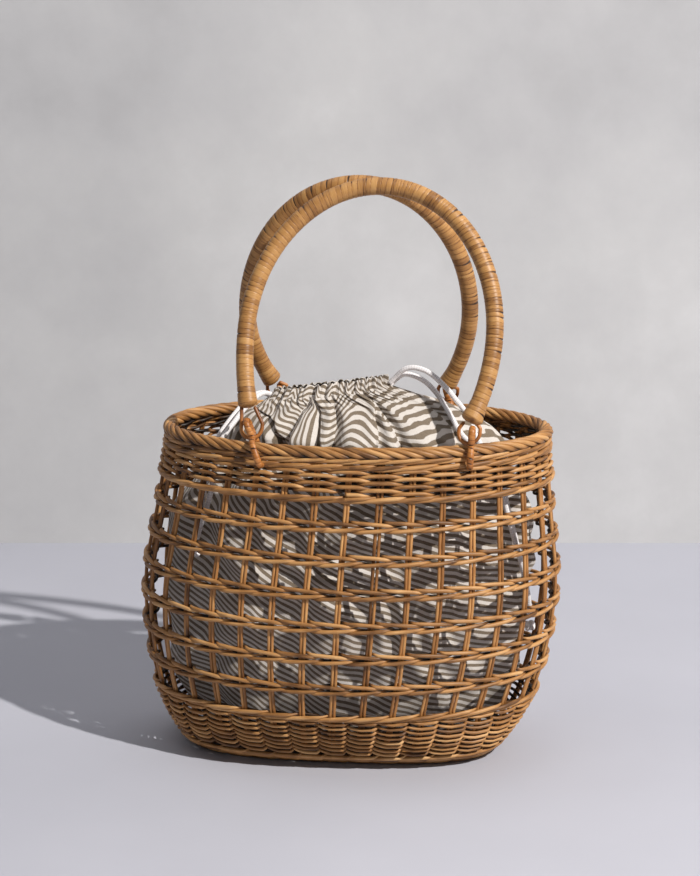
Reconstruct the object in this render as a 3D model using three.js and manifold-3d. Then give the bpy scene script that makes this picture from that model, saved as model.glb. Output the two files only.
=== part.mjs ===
// Oval wicker lunch basket: open fitched lattice wall, rolled rim, two cane-wrapped hoop handles
// hung in ring-and-strap links, and a gathered cotton liner with drawstrings.
// Millimetres, +Z up, +X along the long axis, -Y is the front. The base stands on z = 0.
import * as THREE from 'three';
import { mergeVertices } from 'three/addons/utils/BufferGeometryUtils.js';
import Module from 'manifold-3d';

const wasm = await Module();
wasm.setup();

// Driving dimensions of the body
const CLEARANCE = 0.3;
const WIDEST_HALF_WIDTH = 150;
const WIDEST_HEIGHT = 117;
const FOOT_HALF_WIDTH = 106;
const FOOT_TUCK = 12;
const FOOT_SQUARENESS = 2.9;
const HEEL_HALF_WIDTH = 121;
const HEEL_HEIGHT = 14;
const LOWER_BAND_HALF_WIDTH = 140;
const SHOULDER_HALF_WIDTH = 142.3;
const SHOULDER_HEIGHT = 182;
const RIM_HALF_WIDTH = 135.5;
const WIDTH_LESS_DEPTH = 55;
const LEAN = 0.045;

// Heights up the wall
const BORDER_RADIUS = 6;
const FOOT_WALE_HEIGHT = 6;
const LATTICE_BOTTOM = 48.3;
const LATTICE_TOP = 197.9;
const UPPER_BAND_HEIGHT = 25.5;
const RIM_HEIGHT = LATTICE_TOP + UPPER_BAND_HEIGHT + CLEARANCE + BORDER_RADIUS;
const ROW_COUNT = 6;
const FIRST_ROW_GAP = 20.1;
const LAST_ROW_GAP = 15.75;
const ROWS_REACH = LATTICE_TOP - LATTICE_BOTTOM - FIRST_ROW_GAP - LAST_ROW_GAP;
const ROW_PITCH = ROWS_REACH / (ROW_COUNT - 1);

// Rods
const STAKE_PAIRS = 35;
const STAKE_RADIUS = 1.15;
const STAKE_PHASE = 0.05;
const STAKE_CROWDING = 0.31;
const STAKE_DRIFT = 0.18;
const STAKE_FAN = 0.13;
const WEAVER_HALF_DEPTH = 0.85;
const WEAVER_HALF_HEIGHT = 1.5;
const WALL_THICKNESS = 6.5;
const RING_SEGMENTS = 48;

// Close-woven bands: rows of thin rods with grooves between them, edged by thicker wales
const GROOVE_DEPTH = 2.2;
const ROW_BULGE = 0.2;
const WALE_BULGE = 0.9;
const EDGE_STEP = 0.4;
const HEEL_WALE_TOP = 13.2;
const LOWER_WALE_WIDTH = 4.4;
const LOWER_BAND_ROWS = 8;
const UPPER_WALE_WIDTH = 5.2;
const TOP_WALE_WIDTH = 4.6;
const UPPER_BAND_ROWS = 4;

// Base
const BASE_THICKNESS = 5;

// Handles: each hoop lies in a plane through its hinge axis, and its heights are measured in that plane
const GRIP_RADIUS = 5.9;
const CROWN_RISE = 174.7;
const SHOULDER_RISE = 72;
const FOOT_FLARE = 1.1;
const FOOT_FLARE_LENGTH = 16;
const RING_WIRE_RADIUS = 1.3;
const RING_HALF_WIDTH = 7.1;
const RING_STRAIGHT = 3;
const RING_SHIFT = 1.95;
const STRAP_RADIUS = 2.2;
const STRAP_RISE = 12.2;
const STRAP_FOOT_GAP = 1.2;
const STRAP_HOLE_DROP = 2.2;
const STRAP_RING_EASE = 0.7;
const STRAP_BORDER_EASE = 1.2;
const STRAP_SLANT = 0.315;

// The front hoop is the wider one, and both hang a little off centre
const FRONT_HALF_WIDTH = 84.3;
const FRONT_CENTRE = 9;
const FRONT_LEFT = { inset: 6, footRise: 21, strapX: -64, slant: STRAP_SLANT, ringShift: -RING_SHIFT };
const FRONT_RIGHT = { inset: 12.2, footRise: 14, strapX: 83, slant: 0, ringShift: -RING_SHIFT };
const REAR_HALF_WIDTH = 79.6;
const REAR_CENTRE = -7;
const REAR_LEFT = { inset: 18.5, footRise: 12.5, strapX: -64, slant: 0, ringShift: -RING_SHIFT };
const REAR_RIGHT = { inset: 15, footRise: 12.5, strapX: 61, slant: STRAP_SLANT, ringShift: -RING_SHIFT };
const HANDLES = [
  {
    name: 'front', side: -1, centre: FRONT_CENTRE, halfWidth: FRONT_HALF_WIDTH,
    feet: [FRONT_LEFT, FRONT_RIGHT],
  },
  {
    name: 'rear', side: 1, centre: REAR_CENTRE, halfWidth: REAR_HALF_WIDTH,
    feet: [REAR_LEFT, REAR_RIGHT],
  },
];

// Liner: below the rim, how far the cloth lies inside the wall at each share of the rim's height
const CLOTH_THICKNESS = 1.6;
const LINER_SEGMENTS = 32;
const LINER_FOLDS = 8;
const LINER_IN_WALL = [
  { share: 0, easeX: 22, easeY: 20, centre: 0, fold: 0 },
  { share: 0.105, easeX: 17.5, easeY: 16.5, centre: 0, fold: 0 },
  { share: 0.305, easeX: 23.5, easeY: 18.5, centre: 0, fold: 0.8 },
  { share: 0.566, easeX: 24, easeY: 16, centre: 0, fold: 1.2 },
  { share: 0.827, easeX: 21.5, easeY: 13.5, centre: 2, fold: 1.6 },
  { share: 0.984, easeX: 33.5, easeY: 19.5, centre: 7, fold: 2 },
];
// Above it the gathered cloth narrows to a drawn neck with a ruffle over it, all lower at the left
const MOUND_HALF_WIDTH = 76;
const MOUND_HALF_DEPTH = 38;
const GATHER_HALF_WIDTH = 52.5;
const GATHER_HALF_DEPTH = 21;
const NECK_HALF_WIDTH = 37.3;
const NECK_HALF_DEPTH = 12;
const NECK_HALF_SLIT = 5.5;
const NECK_CENTRE = -20.4;
const NECK_RISE = 26.6;
const NECK_TILT = 4.8;
const RUFFLE_FLARE = 3.6;
const RUFFLE_RISE = 8;
const LINER_ABOVE_RIM = [
  {
    rise: 13.8, centre: -4, tilt: 2, fold: 3,
    halfWidth: MOUND_HALF_WIDTH, halfDepth: MOUND_HALF_DEPTH,
  },
  {
    rise: 22.5, centre: -14, tilt: 4, fold: 3.4,
    halfWidth: GATHER_HALF_WIDTH, halfDepth: GATHER_HALF_DEPTH,
  },
  {
    rise: NECK_RISE, centre: NECK_CENTRE, tilt: NECK_TILT, fold: 2.4,
    halfWidth: NECK_HALF_WIDTH, halfDepth: NECK_HALF_DEPTH,
  },
  {
    rise: NECK_RISE + RUFFLE_RISE, centre: NECK_CENTRE, tilt: NECK_TILT + 1, fold: 3.4,
    halfWidth: NECK_HALF_WIDTH + RUFFLE_FLARE, halfDepth: NECK_HALF_DEPTH + RUFFLE_FLARE,
  },
];

// Drawstrings
const CORD_RADIUS = 1.75;
const KNOT_RADIUS = 4.2;

// Outer half width of the wall at a height, smooth through its few stations
const WALL_STATIONS = [
  [0, FOOT_HALF_WIDTH],
  [HEEL_HEIGHT, HEEL_HALF_WIDTH],
  [LATTICE_BOTTOM, LOWER_BAND_HALF_WIDTH],
  [WIDEST_HEIGHT, WIDEST_HALF_WIDTH],
  [SHOULDER_HEIGHT, SHOULDER_HALF_WIDTH],
  [RIM_HEIGHT, RIM_HALF_WIDTH],
];

function stationSlope(i) {
  const before = WALL_STATIONS[Math.max(i - 1, 0)];
  const after = WALL_STATIONS[Math.min(i + 1, WALL_STATIONS.length - 1)];
  return (after[1] - before[1]) / (after[0] - before[0]);
}

function outerHalfWidth(z) {
  let i = 0;
  while (i < WALL_STATIONS.length - 2 && z > WALL_STATIONS[i + 1][0]) i += 1;
  const [z0, w0] = WALL_STATIONS[i];
  const [z1, w1] = WALL_STATIONS[i + 1];
  const span = z1 - z0;
  const t = (z - z0) / span;
  const rise = t * t * (3 - 2 * t);
  const startSlope = t * (1 - t) * (1 - t) * span * stationSlope(i);
  const endSlope = t * t * (t - 1) * span * stationSlope(i + 1);
  return w0 + (w1 - w0) * rise + startSlope + endSlope;
}

// Angle round the oval, from the front towards +X, at an equal share of the widest girth
const GIRTH_STEPS = 720;
const girthTable = [0];
for (let i = 1; i <= GIRTH_STEPS; i += 1) {
  const angle = (2 * Math.PI * (i - 0.5)) / GIRTH_STEPS;
  const across = WIDEST_HALF_WIDTH * Math.cos(angle);
  const along = (WIDEST_HALF_WIDTH - WIDTH_LESS_DEPTH) * Math.sin(angle);
  girthTable.push(girthTable[i - 1] + Math.hypot(across, along));
}

function angleAtShare(share) {
  const turns = Math.floor(share);
  const target = (share - turns) * girthTable[GIRTH_STEPS];
  let i = 1;
  while (girthTable[i] < target) i += 1;
  const part = (target - girthTable[i - 1]) / (girthTable[i] - girthTable[i - 1]);
  return 2 * Math.PI * (turns + (i - 1 + part) / GIRTH_STEPS);
}

// The body is an ellipse that squares up towards the foot and tucks in under its long sides
function squareness(z) {
  return 2 + (FOOT_SQUARENESS - 2) * Math.max(1 - z / LATTICE_BOTTOM, 0);
}

function halfDepthFor(halfWidth, z) {
  return halfWidth - WIDTH_LESS_DEPTH - FOOT_TUCK * Math.max(1 - z / HEEL_HEIGHT, 0) ** 2;
}

// Point and outward direction on the oval of a half width
function ovalPoint(halfWidth, angle, z) {
  const halfDepth = halfDepthFor(halfWidth, z);
  const power = squareness(z);
  const across = Math.sin(angle);
  const along = -Math.cos(angle);
  const reach = (Math.abs(across) ** power + Math.abs(along) ** power) ** (-1 / power);
  const point = new THREE.Vector3(halfWidth * across * reach, halfDepth * along * reach, z);
  const slopeX = Math.sign(across) * Math.abs(across * reach) ** (power - 1) / halfWidth;
  const slopeY = Math.sign(along) * Math.abs(along * reach) ** (power - 1) / halfDepth;
  return { point, outward: new THREE.Vector3(slopeX, slopeY, 0).normalize() };
}

// Sweeps a section, given as [along n, along b] offsets, through stations of point, n and b
function sweep(stations, sectionAt, closed) {
  const positions = [];
  const index = [];
  const sides = sectionAt(0).length;
  stations.forEach((station, i) => {
    for (const [alongN, alongB] of sectionAt(i)) {
      const corner = station.point.clone();
      corner.addScaledVector(station.n, alongN);
      corner.addScaledVector(station.b, alongB);
      positions.push(corner.x, corner.y, corner.z);
    }
  });
  const spans = closed ? stations.length : stations.length - 1;
  for (let i = 0; i < spans; i += 1) {
    const here = i * sides;
    const next = ((i + 1) % stations.length) * sides;
    for (let j = 0; j < sides; j += 1) {
      const k = (j + 1) % sides;
      index.push(here + j, here + k, next + j);
      index.push(here + k, next + k, next + j);
    }
  }
  if (!closed) {
    const last = (stations.length - 1) * sides;
    for (let j = 1; j < sides - 1; j += 1) {
      index.push(0, j + 1, j);
      index.push(last, last + j, last + j + 1);
    }
  }
  return { positions, index };
}

// Regular section of a number of sides with half sizes along n and b
function roundSection(halfN, halfB, sides) {
  const section = [];
  for (let j = 0; j < sides; j += 1) {
    const angle = (2 * Math.PI * (j + 0.5)) / sides;
    section.push([halfN * Math.cos(angle), halfB * Math.sin(angle)]);
  }
  return section;
}

function toGeometry(...parts) {
  const positions = [];
  const index = [];
  for (const part of parts) {
    const start = positions.length / 3;
    positions.push(...part.positions);
    index.push(...part.index.map((i) => i + start));
  }
  const geometry = new THREE.BufferGeometry();
  geometry.setAttribute('position', new THREE.Float32BufferAttribute(positions, 3));
  geometry.setIndex(index);
  return geometry;
}

function toManifold(geometry) {
  const bare = geometry.clone();
  bare.deleteAttribute('normal');
  bare.deleteAttribute('uv');
  const merged = mergeVertices(bare, 1e-3);
  const vertProperties = Float32Array.from(merged.attributes.position.array);
  const triVerts = Uint32Array.from(merged.index.array);
  return new wasm.Manifold(new wasm.Mesh({ numProp: 3, vertProperties, triVerts }));
}

function fromManifold(solid) {
  const mesh = solid.getMesh();
  const geometry = new THREE.BufferGeometry();
  const positions = Float32Array.from(mesh.vertProperties);
  geometry.setAttribute('position', new THREE.BufferAttribute(positions, 3));
  geometry.setIndex(Array.from(mesh.triVerts));
  return geometry;
}

const basket = new THREE.Group();
const UP = new THREE.Vector3(0, 0, 1);

// The hand-woven body leans a little to its right, about the height where it is widest
const leanMatrix = new THREE.Matrix4().set(
  1, 0, LEAN, -LEAN * WIDEST_HEIGHT,
  0, 1, 0, 0,
  0, 0, 1, 0,
  0, 0, 0, 1,
);

const materials = {
  stake: { color: 0xb5783f, roughness: 0.6 },
  weaver: { color: 0xc08546, roughness: 0.6 },
  wrap: { color: 0xcf9a55, roughness: 0.5 },
  binding: { color: 0xa85a24, roughness: 0.5 },
  cloth: { color: 0xe6e0d4, roughness: 0.95 },
  cord: { color: 0xf2eff2, roughness: 0.9 },
};

function addMesh(name, geometry, materialName) {
  const finished = mergeVertices(geometry, 1e-3).toNonIndexed();
  finished.applyMatrix4(leanMatrix);
  finished.computeVertexNormals();
  const material = new THREE.MeshStandardMaterial({ ...materials[materialName], metalness: 0 });
  const mesh = new THREE.Mesh(finished, material);
  mesh.name = name;
  basket.add(mesh);
}

// A woven band: its section is given as [offset outward of the wall, height] corners
function addBand(name, corners, materialName) {
  const stations = [];
  for (let i = 0; i < RING_SEGMENTS; i += 1) {
    const angle = angleAtShare(-i / RING_SEGMENTS);
    stations.push({ angle, point: new THREE.Vector3(), n: new THREE.Vector3(1, 0, 0), b: UP });
  }
  const positions = [];
  const ring = sweep(stations, () => corners, true);
  for (const { angle } of stations) {
    for (const [offset, z] of corners) {
      const { point, outward } = ovalPoint(outerHalfWidth(z), angle, z);
      point.addScaledVector(outward, offset);
      positions.push(point.x, point.y, point.z);
    }
  }
  return { name, materialName, geometry: toGeometry({ positions, index: ring.index }) };
}

// Base: an oval woven mat, ribbed on top by its rounds of weaving
const MAT_ROUNDS = 3;

function baseMat() {
  const positions = [];
  const index = [];
  const rounds = [{ share: 1, z: 0 }];
  for (let i = 0; i < MAT_ROUNDS; i += 1) {
    const outer = 1 - i / MAT_ROUNDS;
    const inner = 1 - (i + 0.75) / MAT_ROUNDS;
    rounds.push({ share: outer, z: BASE_THICKNESS });
    if (i < MAT_ROUNDS - 1) rounds.push({ share: inner, z: BASE_THICKNESS - 1 });
  }
  rounds.forEach(({ share, z }) => {
    for (let i = 0; i < RING_SEGMENTS; i += 1) {
      const { point, outward } = ovalPoint(FOOT_HALF_WIDTH, angleAtShare(i / RING_SEGMENTS), z);
      point.addScaledVector(outward, -WALL_THICKNESS - CLEARANCE);
      positions.push(point.x * share, point.y * share, z);
    }
  });
  for (let r = 0; r < rounds.length - 1; r += 1) {
    for (let i = 0; i < RING_SEGMENTS; i += 1) {
      const k = (i + 1) % RING_SEGMENTS;
      const low = r * RING_SEGMENTS;
      const high = low + RING_SEGMENTS;
      index.push(low + i, low + k, high + i);
      index.push(low + k, high + k, high + i);
    }
  }
  const bottomCentre = positions.length / 3;
  positions.push(0, 0, 0);
  positions.push(0, 0, BASE_THICKNESS);
  const topRing = (rounds.length - 1) * RING_SEGMENTS;
  for (let i = 0; i < RING_SEGMENTS; i += 1) {
    const k = (i + 1) % RING_SEGMENTS;
    index.push(bottomCentre, k, i);
    index.push(bottomCentre + 1, topRing + i, topRing + k);
  }
  return toGeometry({ positions, index });
}
addMesh('base_mat', baseMat(), 'weaver');

// Foot wale and the close-woven band above it
const footWale = addBand('foot_wale', [
  [-WALL_THICKNESS, 0],
  [-1, 0],
  [1.2, FOOT_WALE_HEIGHT * 0.35],
  [0.6, FOOT_WALE_HEIGHT],
  [-WALL_THICKNESS, FOOT_WALE_HEIGHT],
], 'weaver');
addMesh(footWale.name, footWale.geometry, footWale.materialName);

// Corners up the outer face from a foot wale, over a number of grooved rows, to a top wale
function wovenFace(foot, rowsFoot, rowsTop, top, rows) {
  const pitch = (rowsTop - rowsFoot) / rows;
  const face = [[-EDGE_STEP, foot], [WALE_BULGE, (foot + rowsFoot) / 2], [-GROOVE_DEPTH, rowsFoot]];
  for (let row = 0; row < rows; row += 1) {
    face.push([ROW_BULGE, rowsFoot + (row + 0.5) * pitch]);
    face.push([-GROOVE_DEPTH, rowsFoot + (row + 1) * pitch]);
  }
  face.push([WALE_BULGE, (rowsTop + top) / 2], [-EDGE_STEP, top]);
  return face;
}

const bandFoot = FOOT_WALE_HEIGHT + CLEARANCE;
const lowerRowsTop = LATTICE_BOTTOM - LOWER_WALE_WIDTH;
const lowerBand = addBand('lower_band', [
  [-WALL_THICKNESS, bandFoot],
  ...wovenFace(bandFoot, HEEL_WALE_TOP, lowerRowsTop, LATTICE_BOTTOM, LOWER_BAND_ROWS),
  [-WALL_THICKNESS, LATTICE_BOTTOM],
  [-WALL_THICKNESS, HEEL_HEIGHT],
], 'weaver');
addMesh(lowerBand.name, lowerBand.geometry, lowerBand.materialName);

// The stakes' centre line lies inside the outer face by a weaver, a clearance and half a stake
const CROSSING_DEPTH = STAKE_RADIUS + WEAVER_HALF_DEPTH + 3.3 * CLEARANCE;
const STAKE_INSET = CROSSING_DEPTH + WEAVER_HALF_DEPTH;
const STAKE_SPANS = 3;
const STAKE_KNOTS = [];
for (let i = 0; i <= STAKE_SPANS; i += 1) {
  const reach = LATTICE_TOP - LATTICE_BOTTOM - 2 * CLEARANCE;
  STAKE_KNOTS.push(LATTICE_BOTTOM + CLEARANCE + (reach * i) / STAKE_SPANS);
}

function stakeShare(pair, z) {
  const aboveMiddle = (z - LATTICE_BOTTOM) / (LATTICE_TOP - LATTICE_BOTTOM) - 0.5;
  const turn = (2 * Math.PI * pair) / STAKE_PAIRS;
  const drift = (STAKE_DRIFT + STAKE_FAN * Math.sin(2 * turn)) * aboveMiddle;
  return (pair + STAKE_PHASE + STAKE_CROWDING * Math.sin(turn) + drift) / STAKE_PAIRS;
}

function stakeLine(pair, z) {
  let i = 0;
  while (i < STAKE_KNOTS.length - 2 && z > STAKE_KNOTS[i + 1]) i += 1;
  const low = STAKE_KNOTS[i];
  const high = STAKE_KNOTS[i + 1];
  const place = (height) => {
    const angle = angleAtShare(stakeShare(pair, height));
    return ovalPoint(outerHalfWidth(height) - STAKE_INSET, angle, height);
  };
  const a = place(low);
  const b = place(high);
  const t = (z - low) / (high - low);
  const outward = a.outward.lerp(b.outward, t).normalize();
  return { point: a.point.lerp(b.point, t), outward };
}

// Two rods side by side, joined along the line where they touch
function pairSection() {
  const rod = STAKE_RADIUS;
  const groove = 0.6 * rod;
  return [
    [0, -2 * rod], [rod, -rod], [groove, 0], [rod, rod],
    [0, 2 * rod], [-rod, rod], [-groove, 0], [-rod, -rod],
  ];
}

for (let pair = 0; pair < STAKE_PAIRS; pair += 1) {
  const stations = STAKE_KNOTS.map((z) => {
    const { point, outward } = stakeLine(pair, z);
    return { point, n: outward, b: new THREE.Vector3().crossVectors(UP, outward) };
  });
  const label = String(pair + 1).padStart(2, '0');
  addMesh(`stake_pair_${label}`, toGeometry(sweep(stations, pairSection, false)), 'stake');
}

// Fitched rows: one long weaver goes round twice. It passes the stake pairs in front and behind by
// turns, and because the pairs are odd in number its second turn fills what the first left out.
const TWIST_RISE = 2.5;

function weaver(rowHeight) {
  const stations = [];
  for (let step = 0; step < 4 * STAKE_PAIRS; step += 1) {
    const quarter = step % 4;
    const depth = CROSSING_DEPTH * [1, 0, -1, 0][quarter];
    const { point, outward } = stakeLine(-step / 2, rowHeight);
    point.z = rowHeight + TWIST_RISE * [0, 1, 0, -1][quarter];
    stations.push({ point: point.addScaledVector(outward, depth), n: outward, b: UP });
  }
  const corner = Math.SQRT2;
  const section = roundSection(WEAVER_HALF_DEPTH * corner, WEAVER_HALF_HEIGHT * corner, 4);
  return sweep(stations, () => section, true);
}

for (let row = 0; row < ROW_COUNT; row += 1) {
  const height = LATTICE_BOTTOM + FIRST_ROW_GAP + row * ROW_PITCH;
  addMesh(`fitching_row_${row + 1}`, toGeometry(weaver(height)), 'weaver');
}

// Upper band with a notch in its top for each handle strap, and the rolled border over it
const bandTop = LATTICE_TOP + UPPER_BAND_HEIGHT;
const strapHoleHeight = bandTop - STRAP_HOLE_DROP;
const upperRowsFoot = LATTICE_TOP + UPPER_WALE_WIDTH;
const upperBand = addBand('upper_band', [
  [-WALL_THICKNESS, LATTICE_TOP],
  ...wovenFace(LATTICE_TOP, upperRowsFoot, bandTop - TOP_WALE_WIDTH, bandTop, UPPER_BAND_ROWS),
  [-WALL_THICKNESS, bandTop],
], 'weaver');

const borderHalfWidth = outerHalfWidth(RIM_HEIGHT) - WALL_THICKNESS / 2;

function borderY(x) {
  const halfDepth = borderHalfWidth - WIDTH_LESS_DEPTH;
  return halfDepth * Math.sqrt(1 - (x / borderHalfWidth) ** 2);
}

// Cosine of the angle between the border's outward direction and Y, at a place along it
function borderFacing(x) {
  const halfDepth = borderHalfWidth - WIDTH_LESS_DEPTH;
  return Math.cos(Math.atan2(x / borderHalfWidth ** 2, borderY(x) / halfDepth ** 2));
}

// A round-bottomed notch, open at the top of the band
function strapNotch(handle, foot) {
  const radius = STRAP_RADIUS + 2 * CLEARANCE;
  const outline = new THREE.Shape();
  outline.moveTo(radius, STRAP_HOLE_DROP + radius);
  outline.lineTo(-radius, STRAP_HOLE_DROP + radius);
  outline.lineTo(-radius, 0);
  outline.absarc(0, 0, radius, Math.PI, 2 * Math.PI, false);
  const through = { depth: 4 * WALL_THICKNESS, bevelEnabled: false, curveSegments: 4 };
  const notch = new THREE.ExtrudeGeometry(outline, through);
  notch.translate(0, 0, -2 * WALL_THICKNESS);
  notch.rotateX(Math.PI / 2);
  const x = foot.strapX - Math.tan(foot.slant) * (strapHoleHeight - hingeZ);
  notch.translate(x, handle.side * borderY(x), strapHoleHeight);
  return toManifold(notch);
}

// Each handle turns about the bars of its two rings, which lie on the border beside their straps
const hingeZ = RIM_HEIGHT + BORDER_RADIUS + CLEARANCE + RING_WIRE_RADIUS;
for (const handle of HANDLES) {
  const [left, right] = handle.feet;
  handle.hingeY = handle.side * (borderY(left.strapX) + borderY(right.strapX)) / 2;
}

// At rest the two hoops lean on each other at their crowns
const hingeSpan = HANDLES[1].hingeY - HANDLES[0].hingeY;
const crownSpan = 2 * GRIP_RADIUS + CLEARANCE;
const restLean = Math.asin((hingeSpan - crownSpan) / (2 * CROWN_RISE));

let pierced = toManifold(upperBand.geometry);
for (const handle of HANDLES) {
  for (const foot of handle.feet) pierced = pierced.subtract(strapNotch(handle, foot));
}
addMesh(upperBand.name, fromManifold(pierced), upperBand.materialName);

// Rolled border along the top of the wall
function border() {
  const stations = [];
  for (let i = 0; i < RING_SEGMENTS; i += 1) {
    const angle = angleAtShare(-i / RING_SEGMENTS);
    const { point, outward } = ovalPoint(borderHalfWidth, angle, RIM_HEIGHT);
    stations.push({ point, n: outward, b: UP });
  }
  return toGeometry(sweep(stations, () => roundSection(BORDER_RADIUS, BORDER_RADIUS, 8), true));
}
addMesh('rim_border', border(), 'weaver');

// Handles
function handlePlane(handle) {
  const up = new THREE.Vector3(0, -handle.side * Math.sin(restLean), Math.cos(restLean));
  const across = new THREE.Vector3(1, 0, 0);
  const normal = new THREE.Vector3().crossVectors(across, up);
  const at = (x, rise) => new THREE.Vector3(x, handle.hingeY, hingeZ).addScaledVector(up, rise);
  return { up, across, normal, at };
}

// A leg curves in from the shoulder to its foot; share 0 is the foot and 1 the shoulder
function legPoint(handle, side, share) {
  const { footRise, inset } = handle.feet[side];
  const leg = side === 0 ? -1 : 1;
  const x = handle.centre + leg * (handle.halfWidth - inset * (1 - share) ** 2);
  return { x, rise: footRise + (SHOULDER_RISE - footRise) * share };
}

const LEG_STEPS = 4;
const CROWN_STEPS = 18;

function hoopStations(handle) {
  const plane = handlePlane(handle);
  const points = [];
  for (let i = 0; i < LEG_STEPS; i += 1) {
    const { x, rise } = legPoint(handle, 0, i / LEG_STEPS);
    points.push(plane.at(x, rise));
  }
  for (let i = 0; i <= CROWN_STEPS; i += 1) {
    const angle = Math.PI * (1 - i / CROWN_STEPS);
    const rise = SHOULDER_RISE + (CROWN_RISE - SHOULDER_RISE) * Math.sin(angle);
    points.push(plane.at(handle.centre + handle.halfWidth * Math.cos(angle), rise));
  }
  for (let i = LEG_STEPS - 1; i >= 0; i -= 1) {
    const { x, rise } = legPoint(handle, 1, i / LEG_STEPS);
    points.push(plane.at(x, rise));
  }
  return points.map((point, i) => {
    const ahead = points[Math.min(i + 1, points.length - 1)];
    const behind = points[Math.max(i - 1, 0)];
    const tangent = new THREE.Vector3().subVectors(ahead, behind).normalize();
    if (i === 0) tangent.copy(plane.up);
    if (i === points.length - 1) tangent.copy(plane.up).negate();
    const b = new THREE.Vector3().crossVectors(tangent, plane.normal);
    return { point, n: plane.normal, b };
  });
}

function footFlare(stations, i) {
  const last = stations.length - 1;
  const reach = Math.min(
    stations[i].point.distanceTo(stations[0].point),
    stations[i].point.distanceTo(stations[last].point),
  );
  return reach < FOOT_FLARE_LENGTH ? FOOT_FLARE * (1 - reach / FOOT_FLARE_LENGTH) : 0;
}

const GRIP_SIDES = 8;

// A bent rattan hoop with its tight cane wrapping, thicker where the wrapping binds the feet
function handleHoop(handle) {
  const stations = hoopStations(handle);
  return toGeometry(sweep(stations, (i) => {
    const radius = GRIP_RADIUS + footFlare(stations, i);
    return roundSection(radius, radius, GRIP_SIDES);
  }, false));
}

// Cane ring under each foot, a U whose ends meet the foot's flat end
const RING_STEPS = 10;

function handleRing(handle, side) {
  const plane = handlePlane(handle);
  const foot = handle.feet[side];
  const footX = legPoint(handle, side, 0).x;
  const ringX = foot.strapX + foot.ringShift;
  const endRise = foot.footRise - CLEARANCE;
  const endHalf = GRIP_RADIUS - RING_WIRE_RADIUS;
  const limbRise = RING_HALF_WIDTH + RING_STRAIGHT;
  const path = [[footX - endHalf, endRise], [ringX - RING_HALF_WIDTH, limbRise]];
  for (let i = 0; i <= RING_STEPS; i += 1) {
    const angle = Math.PI * (1 + i / RING_STEPS);
    const x = ringX + RING_HALF_WIDTH * Math.cos(angle);
    path.push([x, RING_HALF_WIDTH + RING_HALF_WIDTH * Math.sin(angle)]);
  }
  path.push([ringX + RING_HALF_WIDTH, limbRise], [footX + endHalf, endRise]);
  const points = path.map(([x, rise]) => plane.at(x, rise));
  const stations = points.map((point, i) => {
    const ahead = points[Math.min(i + 1, points.length - 1)];
    const behind = points[Math.max(i - 1, 0)];
    const tangent = new THREE.Vector3().subVectors(ahead, behind).normalize();
    if (i === 0) tangent.copy(plane.up).negate();
    if (i === points.length - 1) tangent.copy(plane.up);
    return { point, n: plane.normal, b: new THREE.Vector3().crossVectors(tangent, plane.normal) };
  });
  return toGeometry(sweep(stations, () => roundSection(RING_WIRE_RADIUS, RING_WIRE_RADIUS, 6), false));
}

// Strap: a closed loop through the ring, round the border and through the band's notch below it
function strapLoop(handle, foot) {
  const nearRing = RING_WIRE_RADIUS + STRAP_RING_EASE + STRAP_RADIUS;
  const nearBorder = BORDER_RADIUS + STRAP_BORDER_EASE + STRAP_RADIUS;
  const loopTop = Math.min(STRAP_RISE, foot.footRise - STRAP_FOOT_GAP - STRAP_RADIUS);
  const borderDrop = RIM_HEIGHT - hingeZ;
  const holeDrop = strapHoleHeight - hingeZ;
  const half = [
    { y: 0, rise: loopTop, low: false },
    { y: nearRing * Math.SQRT1_2, rise: loopTop - nearRing * (1 - Math.SQRT1_2), low: false },
    { y: nearRing, rise: loopTop - nearRing, low: false },
    { y: nearRing, rise: RING_WIRE_RADIUS, low: false },
    { y: nearBorder * Math.SQRT1_2, rise: borderDrop + nearBorder * Math.SQRT1_2, low: true },
    { y: nearBorder, rise: borderDrop, low: true },
    { y: nearBorder, rise: (borderDrop + holeDrop) / 2, low: true },
    { y: nearBorder - STRAP_RADIUS / 2, rise: holeDrop + STRAP_RADIUS / 2, low: true },
    { y: nearBorder / 2, rise: holeDrop, low: true },
    { y: 0, rise: holeDrop, low: true },
  ];
  const mirrored = half.slice(1, -1).reverse().map((corner) => ({ ...corner, y: -corner.y }));
  const points = [...half, ...mirrored].map(({ y, rise, low }) => {
    const x = foot.strapX - Math.tan(foot.slant) * rise;
    const fullY = low ? handle.side * borderY(x) + y / borderFacing(x) : handle.hingeY + y;
    return new THREE.Vector3(x, fullY, hingeZ + rise);
  });
  const sideways = new THREE.Vector3(Math.cos(foot.slant), 0, Math.sin(foot.slant));
  const stations = points.map((point, i) => {
    const ahead = points[(i + 1) % points.length];
    const behind = points[(i + points.length - 1) % points.length];
    const tangent = new THREE.Vector3().subVectors(ahead, behind).normalize();
    const b = new THREE.Vector3().crossVectors(tangent, sideways).normalize();
    return { point, n: sideways, b };
  });
  return toGeometry(sweep(stations, () => roundSection(STRAP_RADIUS, STRAP_RADIUS, 6), true));
}

for (const handle of HANDLES) {
  addMesh(`${handle.name}_handle`, handleHoop(handle), 'wrap');
  ['left', 'right'].forEach((hand, side) => {
    addMesh(`${handle.name}_${hand}_ring`, handleRing(handle, side), 'binding');
    addMesh(`${handle.name}_${hand}_strap`, strapLoop(handle, handle.feet[side]), 'binding');
  });
}

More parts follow.
